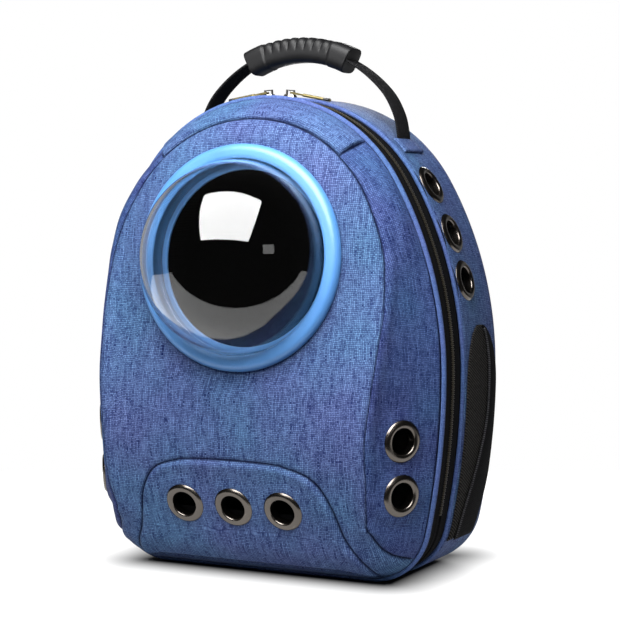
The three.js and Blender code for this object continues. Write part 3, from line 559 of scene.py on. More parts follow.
rubber = plain("black_rubber", (0.003, 0.003, 0.0035), 0.5, grain=0.05, grain_scale=900.0,
               Specular_IOR_Level=0.28)
resin = plain("black_resin", (0.012, 0.012, 0.013), 0.38, grain=0.04, grain_scale=700.0)
coil_resin = plain("zip_coil_resin", (0.028, 0.023, 0.011), 0.45)


dome_plastic = Shader("clear_dome_plastic").finish(Base_Color=(1, 1, 1), Roughness=0.0, IOR=1.49,
                                                   Transmission_Weight=1.0)

# Vents: rolled metal eyelets on the CAD eyelets' own axes

BODY_MIDDLE = np.array([0, 20.0, 200.0])
BARREL_RADIUS = 12.0
EYELET_SIDES = 56


def off_axis(offset, axis):
    return np.linalg.norm(np.cross(offset, axis), axis=1)


def vent_frames():
    """Each CAD eyelet's seat and outward axis, in millimetres in the source's frame. About its own axis, an
    eyelet's points lie at the fewest different distances."""
    frames = {}
    for name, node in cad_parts.items():
        if "vent" not in name:
            continue
        points = np.unique(np.round(source_points(node), 3), axis=0)
        centre = points.mean(0)
        offset = points - centre
        _, vectors = np.linalg.eigh(np.cov(offset.T))
        axis = min(vectors.T, key=lambda v: len(np.unique(np.round(off_axis(offset, v), 1))))
        if axis @ (centre - BODY_MIDDLE) < 0:
            axis = -axis
        flange = off_axis(offset, axis) > VENT_FLANGE_RADIUS - GAP
        frames[name] = (centre + axis * (offset[flange] @ axis).mean(), axis)
    return frames


def lathe(profile, sides, origin, axis):
    """Points and faces of a closed profile, given as (radius, height), turned about an axis."""
    axis = unit(np.asarray(axis, float))
    u = unit(np.cross(axis, (0, 0, 1.0)) if abs(axis[2]) < 0.9 else np.cross(axis, (1.0, 0, 0)))
    angle = turns(sides)
    round_about = np.cos(angle)[:, None] * u + np.sin(angle)[:, None] * np.cross(axis, u)
    points = origin + profile[:, None, 1:2] * axis + profile[:, None, 0:1] * round_about
    return points, grid_faces(len(profile), sides, closed_rows=True)


def rounded(points, steps):
    """Rounds the corners of a closed profile. points are (radius, height, corner radius)."""
    out = []
    for n, (r, z, radius) in enumerate(points):
        here = np.array([r, z], float)
        if radius <= 0:
            out.append(here)
            continue
        ends = []
        for other in (points[n - 1], points[(n + 1) % len(points)]):
            away = np.array(other[:2], float) - here
            ends.append(here + unit(away) * min(radius, np.linalg.norm(away) * 0.49))
        for t in np.arange(steps + 1) / steps:
            out.append((1 - t) ** 2 * ends[0] + 2 * t * (1 - t) * here + t * t * ends[1])
    return np.array(out)


VENT_PROFILE = rounded([
    (VENT_HOLE_RADIUS, -6.6, 0.5),
    (VENT_HOLE_RADIUS, 1.6, 1.2),
    (VENT_HOLE_RADIUS + 2.2, 2.6, 1.5),
    (VENT_FLANGE_RADIUS - 2.0, 2.1, 1.6),
    (VENT_FLANGE_RADIUS, 0.1, 0.5),
    (VENT_FLANGE_RADIUS - 0.6, -0.3, 0.2),
    (BARREL_RADIUS, -0.3, 0),
    (BARREL_RADIUS, -5.9, 0.2),
    (15.6, -5.9, 0.2),
    (15.2, -6.6, 0.4),
], 4)
vents = vent_frames()
for vent_name, (seat, axis) in vents.items():
    points, faces = lathe(VENT_PROFILE, EYELET_SIDES, seat, axis)
    build(vent_name + "_eyelet", points, faces, gunmetal, vent_name)

# Front shell

RIM = PIPING_RADIUS + GAP
RELIEF_HEIGHT = 3.4
SEAT_RADIUS = RING_RADIUS + 1.5
SEAT_BLEND = 24
FRONT_VENTS = ("front_vent", "shell_vent")
CLAMPED_HEIGHT = -0.15
CLAMP_REACH = 29
CLAMP_HEIGHT = 14
OPENING_RADIUS = 13.2


def panel_edge(at):
    """Inset, depth and outward swell of the wall up to the panel's edge, in millimetres."""
    sizes = (BODY_WIDTH, FRONT_DEPTH, BODY_WIDTH)
    return [curve_through(PANEL_EDGE, n + 1, at) * size for n, size in enumerate(sizes)]


def wall_points(line, share, sunk):
    """Points of the wall between the rim (share 0) and the panel's edge (share 1), and the wall's length."""
    inset, depth, swell = panel_edge(line.at)
    run, rise = inset - RIM, depth - RIM
    length = np.hypot(run, rise)
    out = swell * 4 * share * (1 - share) - sunk
    pull = share**0.5 if share < 1 else 1
    across = RIM + run * share - rise / length * out
    forward = RIM + rise * share + run / length * out * pull
    return line.place(across, -forward), length


dense = Outline(np.linspace(0, 1, 1501), 1)
dense_inset, dense_depth, _ = panel_edge(dense.at)
dense_edge = dense.place(dense_inset, 0)
risen = np.argmax(dense_edge[:, 2] > dense_edge[0, 2] + 0.05)
edge_heights, edge_halves, edge_depths = dense_edge[risen:, 2], dense_edge[risen:, 0], dense_depth[risen:]


def panel_depth(x, z):
    """How far forward the crowned panel lies, flat under the window's ring."""
    centre = curve_through(PANEL_PROFILE, 1, z / BODY_HEIGHT) * FRONT_DEPTH
    half = np.interp(z, edge_heights, edge_halves)
    depth = np.interp(z, edge_heights, edge_depths)
    across = np.minimum(1, np.abs(x) / np.maximum(half, 1))
    free = mix(centre, depth, across**2)
    seat = WINDOW_SEAT_DEPTH + (WINDOW_HEIGHT - z) * math.tan(math.radians(WINDOW_LEAN))
    away = np.hypot(x, z - WINDOW_HEIGHT)
    return mix(seat, free, smooth(away, RING_RADIUS + 1, RING_RADIUS + SEAT_BLEND))


def point_tree(points):
    tree = kdtree.KDTree(len(points))
    for n, place in enumerate(points):
        tree.insert(place, n)
    tree.balance()
    return tree


def bell_outline():
    """Heights, as shares of the body's, and half widths of the raised field, with its top rounded off."""
    (shoulder, shoulder_half), (peak, _) = RELIEF_BELL[-2:]
    heights = np.concatenate([np.linspace(0, peak, 900), peak * (1 - np.linspace(0, 0.25, 300) ** 2)])
    heights = np.sort(heights)
    halves = curve_through(RELIEF_BELL, 1, heights) * BODY_WIDTH
    top = heights > shoulder
    rise = (heights[top] - shoulder) / (peak - shoulder)
    halves[top] = shoulder_half * BODY_WIDTH * np.sqrt(np.clip(1 - rise**2, 0, 1))
    return heights, halves


def relief_distance(x, z):
    """How far inside the bell-shaped field a point lies, negative outside."""
    heights, halves = bell_outline()
    tree = point_tree([(half, 0, height) for half, height in zip(halves, heights * BODY_HEIGHT)])
    away = np.array([tree.find((a, 0, b))[2] for a, b in zip(np.abs(x).ravel(), z.ravel())]).reshape(x.shape)
    return np.where(np.abs(x) < np.interp(z / BODY_HEIGHT, heights, halves, right=-1), away, -away)


def grid_normals(points):
    """Normals of a grid of points that closes across its columns."""
    across = np.roll(points, -1, 1) - np.roll(points, 1, 1)
    return unit(np.cross(across, np.gradient(points, axis=0)) + 1e-12)


def round_each_vent(points, only):
    """For each eyelet of a kind: its axis, and the points' height over its seat and way from its axis."""
    for name, (seat, axis) in vents.items():
        if name.startswith(only):
            offset = points - seat
            height = offset @ axis
            yield axis, height, np.linalg.norm(offset - height[..., None] * axis, axis=-1)


def settle_round_vents(points, only):
    """Presses the cloth flat under each eyelet, as the real one clamps it."""
    for axis, height, away in round_each_vent(points, only):
        near = (away < CLAMP_REACH + 1) & (np.abs(height) < CLAMP_HEIGHT)
        target = mix(CLAMPED_HEIGHT, height, smooth(away, VENT_FLANGE_RADIUS + 0.5, CLAMP_REACH))
        points[near] += ((target - height)[..., None] * axis)[near]
    return points


def open_vents(points, faces, only):
    """Leaves out the faces under each eyelet's barrel."""
    keep = np.ones(len(faces), bool)
    for _, height, away in round_each_vent(points[faces].mean(1), only):
        keep &= ~((away < OPENING_RADIUS) & (np.abs(height) < BARREL_RADIUS))
    return faces[keep]


STATIONS = 250
EXTRA_STATIONS = np.concatenate([np.linspace(0.228, 0.3, 56), np.linspace(0.822, 0.84, 10)])
WALL_ROWS = np.concatenate([np.linspace(0, 0.9, 26), [0.93, 0.955, 0.975, 0.99, 1.0]])
CREASE_STEPS = [0.8, 1.6, 2.6, 4.0]
PANEL_ROWS = 74
STEP_AT = 0.8305
ROUNDING = 15
ROUNDING_END = 0.236
BASE_STRIP = 27.0
BASE_STRIP_END = (0.13, 0.225)
RIM_FADE_ROWS = (1, 7)
RELIEF_SLOPE = (-1.2, 3.2)
ROW_STEP = 2.6
FIELD_REACH = 14
FAR = 50.0

# The seam's tail, from the panel's lower corner to the rim: place along the outline, share of the wall
CREASE = np.array([
    (0.286, 1.0),
    (0.27, 0.93),
    (0.255, 0.87),
    (0.245, 0.77),
    (0.24, 0.67),
    (0.237, 0.49),
    (0.238, 0.24),
    (0.239, 0.1),
])
CREASE_START = CREASE[0, 0]
BELOW = 0.01

# Soft ridges (height above 0) and grooves along the seams: height, distance from the line, width
SEAM_PUFF = (0.9, 6.5, 4)
SEAM_GROOVE = (-1.7, 0, 1.3)
RIM_GROOVE = (-1.4, 0, 1.6)
STEP_GROOVE = (-0.9, -0.8, 1.6)
FIELD_GROOVE = (-1.5, -1.4, 1.2)


def soft_ridge(distance, height, middle, width):
    return height * np.exp(-(((distance - middle) / width) ** 2))


def crease_at(share):
    return np.interp(share, CREASE[::-1, 1], CREASE[::-1, 0])


def wall_place(at, side, share):
    return wall_points(Outline(at, side), share, 0)[0][0]


def crease_line():
    """The seam round the front panel: up its edge from the lower corner, with a tail to the rim, on both
    sides. Gives its points and, for each, the direction towards the panel."""
    points, inwards = [], []
    for side in (1, -1):
        line = Outline(np.linspace(CREASE_START, 1, 700), side)
        edge = wall_points(line, 1, 0)[0]
        points.append(edge)
        inwards.append(unit(edge - wall_points(line, 0.97, 0)[0]))
        t = np.linspace(0, len(CREASE) - 1, 120)
        ats, shares = [np.interp(t, range(len(CREASE)), column) for column in CREASE.T]
        path = np.array([wall_place(at, side, share) for at, share in zip(ats, shares)])
        below = np.array([wall_place(at - BELOW, side, share) for at, share in zip(ats, shares)])
        points.append(path)
        inwards.append(unit(below - path))
    return np.concatenate(points), np.concatenate(inwards)


def signed_distance(points, line, inwards):
    """Distance from a line in space, as far as FIELD_REACH, positive on the side that inwards points to."""
    tree = point_tree(line)
    found = []
    for place in points.reshape(-1, 3):
        _, nearest, away = tree.find(place)
        found.append(math.copysign(min(away, FIELD_REACH), (place - line[nearest]) @ inwards[nearest]))
    return np.reshape(found, points.shape[:-1])


def round_off_base(points, at):
    """Rounds the lower edge of the panel over, where the real shell has no seam."""
    edge_row = len(WALL_ROWS) - 1
    steps = np.linalg.norm(np.diff(points, axis=0), axis=-1)
    walked = np.concatenate([np.zeros((1, points.shape[1])), np.cumsum(steps, axis=0)])
    walked -= walked[edge_row]
    weight = 1 - smooth(at, ROUNDING_END, CREASE_START)
    for n in np.nonzero(weight > 0)[0]:
        s = walked[:, n]
        start, end = [np.array([np.interp(place, s, points[:, n, k]) for k in range(3)])
                      for place in (-ROUNDING, ROUNDING)]
        near = np.abs(s) < ROUNDING
        t = ((s[near] + ROUNDING) / (2 * ROUNDING))[:, None]
        curve = (1 - t) ** 2 * start + 2 * t * (1 - t) * points[edge_row, n] + t * t * end
        points[near, n] = mix(points[near, n], curve, weight[n])
    return points


def wall_rows(line):
    """Rows of the wall from the rim to the panel's edge, with their places on the cloth. Below the crease,
    the panel's own cloth goes on down to the rim."""
    edge, length = wall_points(line, 1, 0)
    rows, cloth = [], []
    for share in WALL_ROWS:
        points = wall_points(line, share, 0)[0]
        below = np.stack([points[:, 0], edge[:, 2] - (1 - share) * length], axis=-1)
        beside = np.stack([length * share, line.run], axis=-1)
        rows.append(points)
        cloth.append(np.where((line.at < crease_at(share))[:, None], below, beside))
    return rows, cloth


def towards_window(edge, radius, share):
    """A row of the panel, at a share of the way from its edge to a circle about the window."""
    angle = np.arctan2(edge[:, 0], edge[:, 2] - WINDOW_HEIGHT)
    x = mix(edge[:, 0], radius * np.sin(angle), share)
    z = mix(edge[:, 2], WINDOW_HEIGHT + radius * np.cos(angle), share)
    return np.stack([x, -panel_depth(x, z), z], axis=-1)


def panel_rows(edge):
    """Rows of the panel from its edge to the window's hole, close together beside the seam."""
    length = np.linalg.norm((edge - towards_window(edge, SEAT_RADIUS, 1))[:, [0, 2]], axis=1)
    shares = [np.minimum(step / length, 0.02 * (n + 1)) for n, step in enumerate(CREASE_STEPS)]
    shares += [mix(shares[-1], 1, (n + 1) / PANEL_ROWS) for n in range(PANEL_ROWS)]
    rows = [towards_window(edge, SEAT_RADIUS, share) for share in shares]
    return rows + [towards_window(edge, WINDOW_HOLE_RADIUS + wider, 1) for wider in (4, 0.2)]


def front_skin(line):
    """The outside of the front shell: rows of points, their places on the cloth and their seam distances."""
    walls, wall_cloth = wall_rows(line)
    panel = panel_rows(walls[-1])
    points = np.stack(walls + panel)
    cloth = np.stack(wall_cloth + [row[:, [0, 2]] for row in panel])
    row = np.arange(len(points))[:, None]
    seam = signed_distance(points, *crease_line())
    step = np.where(row < len(WALL_ROWS), (line.at - STEP_AT) * HALF_LENGTH, FAR)
    rim = row * ROW_STEP - BASE_STRIP * (1 - smooth(line.at, *BASE_STRIP_END))
    points = round_off_base(points, line.at)
    normals = grid_normals(points)
    if normals[len(WALL_ROWS) + 3, :, 1].mean() > 0:
        normals = -normals
    rim_fade = smooth(row, *RIM_FADE_ROWS)
    field = np.clip(relief_distance(points[..., 0], points[..., 2]), -FIELD_REACH, FIELD_REACH)
    raised = RELIEF_HEIGHT * smooth(field, *RELIEF_SLOPE) + soft_ridge(field, *FIELD_GROOVE)
    points[..., 1] -= raised * rim_fade
    sewn = soft_ridge(np.abs(seam), *SEAM_PUFF) + soft_ridge(seam, *SEAM_GROOVE)
    sewn = sewn + soft_ridge(rim, *RIM_GROOVE) + soft_ridge(step, *STEP_GROOVE)
    points += normals * (sewn * rim_fade)[..., None]
    points = settle_round_vents(points, FRONT_VENTS)
    field = np.where(rim_fade > 0, field, -FIELD_REACH)
    return points, cloth, {"seam": seam, "field": field, "step": step, "rim": rim}


def front_lining(line):
    """The inside of the front shell, from the window's hole back to the rim."""
    rows = [wall_points(line, share, WALL)[0] for share in np.linspace(0, 1, 7)]
    edge = rows[-1]
    rows += [towards_window(edge, SEAT_RADIUS, share) + (0, WALL, 0) for share in np.linspace(0.12, 1, 8)]
    rows.append(towards_window(edge, WINDOW_HOLE_RADIUS + 0.2, 1) + (0, WALL, 0))
    return np.stack(rows[::-1])


def front_shell():
    """The front half's fabric: the panel's cloth, the lining and the side walls' cloth, a darker copy of the
    panel's as painted shade.
    """
    line = loop(STATIONS, EXTRA_STATIONS)
    outer, outer_cloth, seams = front_skin(line)
    inner = front_lining(line)
    points = np.concatenate([outer, inner]).reshape(-1, 3)
    cloth = np.concatenate([outer_cloth, inner[..., [0, 2]]])
    faces = grid_faces(len(outer) + len(inner), len(line.at), closed_rows=True)
    marks = {key: np.concatenate([values, np.full(inner.shape[:2], FAR)]) for key, values in seams.items()}
    front = build("front_shell_cover", points, open_vents(points, faces, FRONT_VENTS),
                  [front_denim, lining, shaded_side_denim], "front_shell", cloth=cloth, attributes=marks)
    # the side walls, from the crease back to the step, take the darker copy of the cloth: painted shade
    beside = (line.at >= crease_at(WALL_ROWS)[:, None]) & (line.at <= STEP_AT + 0.001)
    beside = np.concatenate([beside.ravel(), np.zeros(len(points) - beside.size, bool)])
    outside_count = outer.shape[0] * outer.shape[1]
    for polygon in front.data.polygons:
        corners = list(polygon.vertices)
        polygon.material_index = 2 if beside[corners].all() else int(max(corners) >= outside_count)


# Rear shell


def rear_inset(y):
    into = np.clip((y - EDGE_START) / REAR_EDGE_RADIUS, 0, 1)
    return REAR_EDGE_RADIUS * (1 - np.sqrt(1 - into**2))


def rear_rows(sunk, corner_rows):
    """Section of the rear shell's side as (inset, y), from the zip to the back."""
    if sunk:
        rows = [(sunk, y) for y in np.linspace(REAR_START, EDGE_START, 8)]
    else:
        rows = [(1.6, REAR_START), (0.7, REAR_START + 0.3), (0.2, REAR_START + 1), (0, REAR_START + 2.2)]
        rows += [(0, y) for y in np.linspace(REAR_START + 4, EDGE_START, 22)]
    radius = REAR_EDGE_RADIUS - sunk
    for angle in np.linspace(0.08, 1, corner_rows) * math.pi / 2:
        rows.append((REAR_EDGE_RADIUS - radius * math.cos(angle), EDGE_START + radius * math.sin(angle)))
    return rows


def back_disc(line, y, rings):
    """Rows that close the flat back, shrinking towards its middle."""
    edge = line.place(REAR_EDGE_RADIUS, y)
    middle = np.array([0, y, BODY_HEIGHT * BACK_MIDDLE])
    return [mix(edge, middle, share) for share in np.linspace(0, 0.97, rings)[1:]]


def rear_shell():
    """The rear half's fabric, with the lining inside."""
    line = loop(STATIONS)
    section = rear_rows(0, 12)
    disc = back_disc(line, REAR_BACK, 8)
    outer = settle_round_vents(np.stack([line.place(*place) for place in section] + disc), ("side_vent",))
    side_cloth = flat_places(line.run, walked_ways(section))[..., ::-1]
    outer_cloth = np.concatenate([side_cloth, np.stack(disc)[..., [0, 2]]])
    inner = [line.place(*place) for place in rear_rows(WALL, 5)]
    inner = np.stack(inner + back_disc(line, REAR_BACK - WALL, 6))
    points = np.concatenate([outer[::-1], inner])
    cloth = np.concatenate([outer_cloth[::-1], inner[..., [0, 2]]])
    rows, columns = points.shape[:2]
    points = points.reshape(-1, 3)
    faces = open_vents(points, grid_faces(rows, columns), ("side_vent",)).tolist() + end_caps(rows, columns)
    rear = build("rear_shell_cover", points, faces, [denim, lining], "rear_shell", cloth=cloth)
    for polygon in rear.data.polygons:
        polygon.material_index = int(max(polygon.vertices) >= len(outer) * columns)


front_shell()
rear_shell()

# Piping, zip tape and coil

COIL_START = 0.3
TOOTH_PITCH = 1.6
TOOTH_SIDES = 6
TOOTH_RISE = 0.95
TOOTH_HALF_WIDTH = 0.62
TOOTH_STAGGER = 0.35
TOOTH_SINK = 0.55
# Along a tooth: y, size
TOOTH_SECTIONS = [(-2.0, 0.35), (-1.6, 0.8), (0, 1.0), (1.6, 0.8), (2.0, 0.35)]
# Half of the tape's face, from its sewn edge to the coil: depth, way from the coil's middle
TAPE_FACE = [
    (0.5, ZIP_BAND_WIDTH / 2 + 0.2),
    (0.1, ZIP_BAND_WIDTH / 2 - 3),
    (-0.25, ZIP_BAND_WIDTH / 2 - 5),
    (0.1, ZIP_BAND_WIDTH / 2 - 7),
    (0.1, 6.5),
    (-0.5, 4.8),
    (-0.5, 3.4),
    (0.5, 2.9),
]


def hoop(name, section, material, node):
    """Runs a closed section of (inset, y) all round the outline."""
    line = loop(STATIONS)
    rings = np.stack([line.place(inset, y) for inset, y in section])
    faces = grid_faces(*rings.shape[:2], closed_rows=True)
    build(name, rings, faces, material, node, cloth=flat_places(line.run, walked_ways(section)))


def piping(name, radius, y, sides, node):
    section = [(radius + radius * math.cos(a), y + radius * math.sin(a)) for a in turns(sides)]
    hoop(name, section, piping_cloth, node)


def zip_tape():
    face = [(TAPE_INSET + sunk, COIL_Y - away) for sunk, away in TAPE_FACE]
    face += [(TAPE_INSET + sunk, COIL_Y + away) for sunk, away in TAPE_FACE[::-1]]
    under = [(TAPE_INSET + TAPE_THICKNESS, y) for y in (TAPE_END, TAPE_START)]
    hoop("zip_tape_band", face + under, tape_cloth, "zip_tape")


def zip_teeth():
    """The coil's teeth: short rounded bars across the zip, each over a little from the last."""
    count = int(HALF_LENGTH * (1 - COIL_START) / TOOTH_PITCH)
    runs = np.arange(-count, count + 1) * TOOTH_PITCH
    line = Outline(1 - np.abs(runs) / HALF_LENGTH, np.where(runs >= 0, 1, -1))
    tooth = capped_faces(len(TOOTH_SECTIONS), TOOTH_SIDES)
    points, faces = [], []
    for n in range(len(runs)):
        out = np.array([line.nx[n], 0, line.nz[n]])
        along = np.array([line.nz[n], 0, -line.nx[n]])
        base = np.array([line.x[n], COIL_Y + (TOOTH_STAGGER if n % 2 else -TOOTH_STAGGER), line.z[n]])
        faces += [[len(points) + corner for corner in face] for face in tooth]
        for y, size in TOOTH_SECTIONS:
            for a in turns(TOOTH_SIDES):
                lift = TOOTH_SINK - TAPE_INSET + TOOTH_RISE * size * math.sin(a)
                points.append(base + out * lift + along * (TOOTH_HALF_WIDTH * size * math.cos(a)) + (0, y, 0))
    build("zip_coil_teeth", points, faces, coil_resin, "zip_coil")


piping("front_piping_cord", PIPING_RADIUS, 0, 16, "front_piping")
piping("rear_piping_cord", REAR_PIPING_RADIUS, REAR_PIPING_Y, 12, "rear_piping")
zip_tape()
zip_teeth()

# Window

window_normal = np.array([0, -math.cos(math.radians(WINDOW_LEAN)), math.sin(math.radians(WINDOW_LEAN))])
window_point = np.array([0, -WINDOW_SEAT_DEPTH, WINDOW_HEIGHT])
COLLAR = WALL + 2
SHOULDER = 6.5
DOME_STEPS = 48
DOME_SIDES = 128


def window_rings():
    """The blue ring outside and the retaining ring inside."""
    shoulder = [(RING_RADIUS - SHOULDER * (1 - math.cos(a)), 2 + (RING_HEIGHT - 2) * math.sin(a), 0)
                for a in np.linspace(0, math.pi / 2, 10)]
    ring = rounded([
        (RING_INNER_RADIUS, -COLLAR, 0.3),
        (WINDOW_HOLE_RADIUS - GAP, -COLLAR, 0.3),
        (WINDOW_HOLE_RADIUS - GAP, GAP, 0),
        (RING_RADIUS - 0.4, GAP, 0.4),
        *shoulder,
        (RING_INNER_RADIUS + 2.5, RING_HEIGHT, 1.5),
        (RING_INNER_RADIUS, RING_HEIGHT * 0.86, 1.2),
    ], 6)
    inner_ring = rounded([
        (INNER_RING_RADIUS, -COLLAR - 3, 0.8),
        (WINDOW_HOLE_RADIUS + 2, -COLLAR - 3, 0.8),
        (WINDOW_HOLE_RADIUS + 2, -COLLAR - GAP, 0.5),
        (INNER_RING_RADIUS, -COLLAR - GAP, 0.8),
    ], 4)
    for node, profile, sides in (("window_ring", ring, 160), ("window_inner_ring", inner_ring, 120)):
        points, faces = lathe(profile, sides, window_point, window_normal)
        build(node + "_rim", points, faces, ring_plastic, node)


def window_dome():
    """The dome as one closed shell with its pole at the front."""
    u = np.array([1.0, 0, 0])
    angle = turns(DOME_SIDES)
    round_about = np.cos(angle)[:, None] * u + np.sin(angle)[:, None] * np.cross(window_normal, u)
    climb = np.arange(DOME_STEPS) / DOME_STEPS * math.pi / 2
    skin = (DOME_STEPS + 1) * DOME_SIDES
    points, faces = [], []
    for n, radius in enumerate((DOME_RADIUS, DOME_RADIUS - DOME_THICKNESS)):
        first = n * (skin + 1)
        reach = np.append(radius, radius * np.cos(climb))[:, None, None]
        height = np.append(-COLLAR, DOME_RISE + radius * np.sin(climb))[:, None, None]
        points.append((window_point + height * window_normal + reach * round_about).reshape(-1, 3))
        points.append([window_point + window_normal * (radius + DOME_RISE)])
        faces += (grid_faces(DOME_STEPS + 1, DOME_SIDES) + first).tolist()
        last = first + skin - DOME_SIDES
        faces += [[last + k, last + (k + 1) % DOME_SIDES, first + skin] for k in range(DOME_SIDES)]
    for k in range(DOME_SIDES):
        m = (k + 1) % DOME_SIDES
        faces.append([m, k, skin + 1 + k, skin + 1 + m])
    build("window_dome_shell", np.concatenate(points), faces, dome_plastic, "window_dome")


window_rings()
window_dome()

# Side fields of mesh and their pockets

MESH_BASE = 0.075
MESH_TOP = 0.522
MESH_SHOULDER = 0.72
MESH_THICKNESS = 1.4
MESH_SEAT = 0.6
MESH_FRONT = REAR_START + 2
MESH_REAR = EDGE_START - 2 * GAP
POCKET_SEAT = MESH_SEAT + MESH_THICKNESS + GAP
POCKET_BULGE = 1.5
PATCH_RIM = 1.6
BINDING_RADIUS = 1.1
BINDING_SIDES = 8
BINDING_LIFT = MESH_SEAT + MESH_THICKNESS + 1.6


def mesh_limits(share):
    """The mesh's front and rear edge at a share of its height."""
    crown = np.sqrt(np.clip(1 - ((share - MESH_SHOULDER) / 0.282) ** 2, 0, 1))
    crown = np.where(share > MESH_SHOULDER, crown, 1)
    foot = 1 - 0.3 * (1 - smooth(share, 0, 0.3))
    middle = (MESH_FRONT + MESH_REAR) / 2
    half = (MESH_REAR - MESH_FRONT) / 2 * crown
    return middle - half, middle + half * foot


def pocket_limits(share):
    """The pocket's slanting mouth and rear edge at a share of the mesh's height."""
    front_y, rear_y = mesh_limits(share)
    mouth = 0.22 + 0.5 * smooth(share, 0, 0.65)
    return mix(front_y, rear_y, mouth), rear_y


def side_line(side):
    """The shares of the mesh's height that have rows, closer at its round top, and the outline there."""
    low, high = share_at_height(MESH_BASE * BODY_HEIGHT), share_at_height(MESH_TOP * BODY_HEIGHT)
    top = MESH_SHOULDER + (1 - MESH_SHOULDER) * np.sin(np.linspace(0.03, 1, 34) * math.pi / 2)
    shares = np.concatenate([np.linspace(0, MESH_SHOULDER, 50), top])
    return shares, Outline(mix(low, high, shares), side)


def on_side(line, inset, y):
    """Points at an inset from a stretch of the outline, one row for each of its points."""
    x, z = line.x[:, None] - line.nx[:, None] * inset, line.z[:, None] - line.nz[:, None] * inset
    return np.stack([x, y, z], axis=-1)


def side_patch(name, side, lift, thickness, limits, material, node, bulge=0.0):
    """A soft patch on the side with rounded edges, rows up the side and columns from front to rear."""
    shares, line = side_line(side)
    front_y, rear_y = limits(shares)
    columns = np.linspace(0, 1, 33)
    y = front_y[:, None] + (rear_y - front_y)[:, None] * columns
    inset = rear_inset(y)
    span = np.maximum(rear_y - front_y, 0.01)[:, None]
    end = np.minimum(shares, 1 - shares)[:, None] * (line.at[-1] - line.at[0]) * HALF_LENGTH
    edge = np.minimum(np.minimum(columns, 1 - columns) * span, end)
    round_off = np.sqrt(np.clip(1 - (1 - np.clip(edge / PATCH_RIM, 0, 1)) ** 2, 0, 1))
    swell = bulge * np.sin(math.pi * columns) * np.sin(math.pi * np.clip(shares, 0, 1))[:, None] ** 0.6
    height = lift + 0.1 + (thickness - 0.1) * round_off + swell
    top, under = on_side(line, inset - height, y), on_side(line, inset - lift, y)
    rings = np.concatenate([top, under[:, ::-1]], axis=1)
    cloth = flat_places(rings[..., 1] * side, line.run * side)
    build(name, rings, capped_faces(*rings.shape[:2]), material, node, cloth=cloth)


def pocket_binding(name, side):
    """A round cord along the pocket's mouth."""
    shares, line = side_line(side)
    mouth_y = pocket_limits(shares)[0][:, None]
    inset = rear_inset(mouth_y) - BINDING_LIFT
    path = on_side(line, inset, mouth_y)[(shares > 0.01) & (shares < 0.985), 0]
    along = unit(np.gradient(path, axis=0))
    u = unit(np.cross(along, (0, 1.0, 0)))
    v = np.cross(u, along)
    angle = turns(BINDING_SIDES)
    section = np.cos(angle)[:, None] * u[:, None] + np.sin(angle)[:, None] * v[:, None]
    cloth = flat_places(angle * BINDING_RADIUS, walked_ways(path))
    build(name, path[:, None] + BINDING_RADIUS * section, capped_faces(len(path), BINDING_SIDES), trim_cloth,
          cloth=cloth)


for side_name, side in SIDES:
    side_patch(f"side_mesh_{side_name}_field", side, MESH_SEAT, MESH_THICKNESS, mesh_limits, mesh_cloth,
               f"side_mesh_{side_name}")
    side_patch(f"side_pocket_{side_name}_panel", side, POCKET_SEAT, 1.0, pocket_limits, pocket_cloth,
               f"side_pocket_{side_name}", POCKET_BULGE)
    pocket_binding(f"pocket_binding_{side_name}", side)

# Handle

HANDLE_Y = REAR_START + 26
RIBBED_SHARE = 0.62
RIB_DEPTH = 3.0
GRIP_SIDES = 40
TAB_LENGTH = 16
TAB_WIDTH = WEB_WIDTH + 14
TAB_ROUNDING = 2.0
grip_centre_z = BODY_HEIGHT + GRIP_RISE - GRIP_RADIUS
grip_half_angle = math.asin(GRIP_LENGTH / 2 / GRIP_RADIUS)
# The webbing's legs, from the grip's end (0) to the body (1): share of the way out, share of the drop
WEB_LEGS = [(0.39, 0.185), (0.72, 0.42), (0.91, 0.67), (0.98, 0.87), (1, 1)]


def catmull(points, steps):
    """A uniform Catmull-Rom curve through points."""
    points = np.asarray(points, float)
    t = np.linspace(0, len(points) - 1, steps)
    n = np.minimum(t.astype(int), len(points) - 2)
    w = (t - n)[:, None]
    p0, p1 = points[np.maximum(n - 1, 0)], points[n]
    p2, p3 = points[n + 1], points[np.minimum(n + 2, len(points) - 1)]
    return 0.5 * (2 * p1 + (p2 - p0) * w + (2 * p0 - 5 * p1 + 4 * p2 - p3) * w**2
                  + (3 * p1 - p0 - 3 * p2 + p3) * w**3)


def crown_point(angle, out):
    radius = CROWN_RADIUS + out
    return np.array([radius * math.sin(angle), crown_centre + radius * math.cos(angle)])


def grip_arc(steps):
    angles = np.linspace(-grip_half_angle, grip_half_angle, steps)
    return np.stack([GRIP_RADIUS * np.sin(angles), grip_centre_z + GRIP_RADIUS * np.cos(angles)], axis=-1)


def webbing_path():
    arc = grip_arc(11)
    end = arc[-1]
    base = crown_point(math.radians(WEB_BASE_ANGLE), GAP + WEB_THICKNESS / 2)
    right = catmull([arc[-3], end, *[mix(end, base, np.array(leg)) for leg in WEB_LEGS]], 60)
    right = right[(right[:, 0] > end[0] + 1) | (right[:, 1] < end[1] - 1)]
    return np.concatenate([right[::-1] * (-1, 1), grip_arc(30), right])


def flat_sweep(name, path, section, material, node):
    """Sweeps a section along a path in the handle's XZ plane. section(share) gives rows of (out, y)."""
    along = unit(np.gradient(path, axis=0))
    sections = np.array([section(share) for share in np.arange(len(path)) / (len(path) - 1)], float)
    out, y = sections[..., 0], sections[..., 1]
    x, z = path[:, :1] - along[:, 1:] * out, path[:, 1:] + along[:, :1] * out
    rings = np.stack([x, HANDLE_Y + y, z], axis=-1)
    cloth = flat_places(y, walked_ways(path))
    build(name, rings, capped_faces(*rings.shape[:2]), material, node, cloth=cloth)


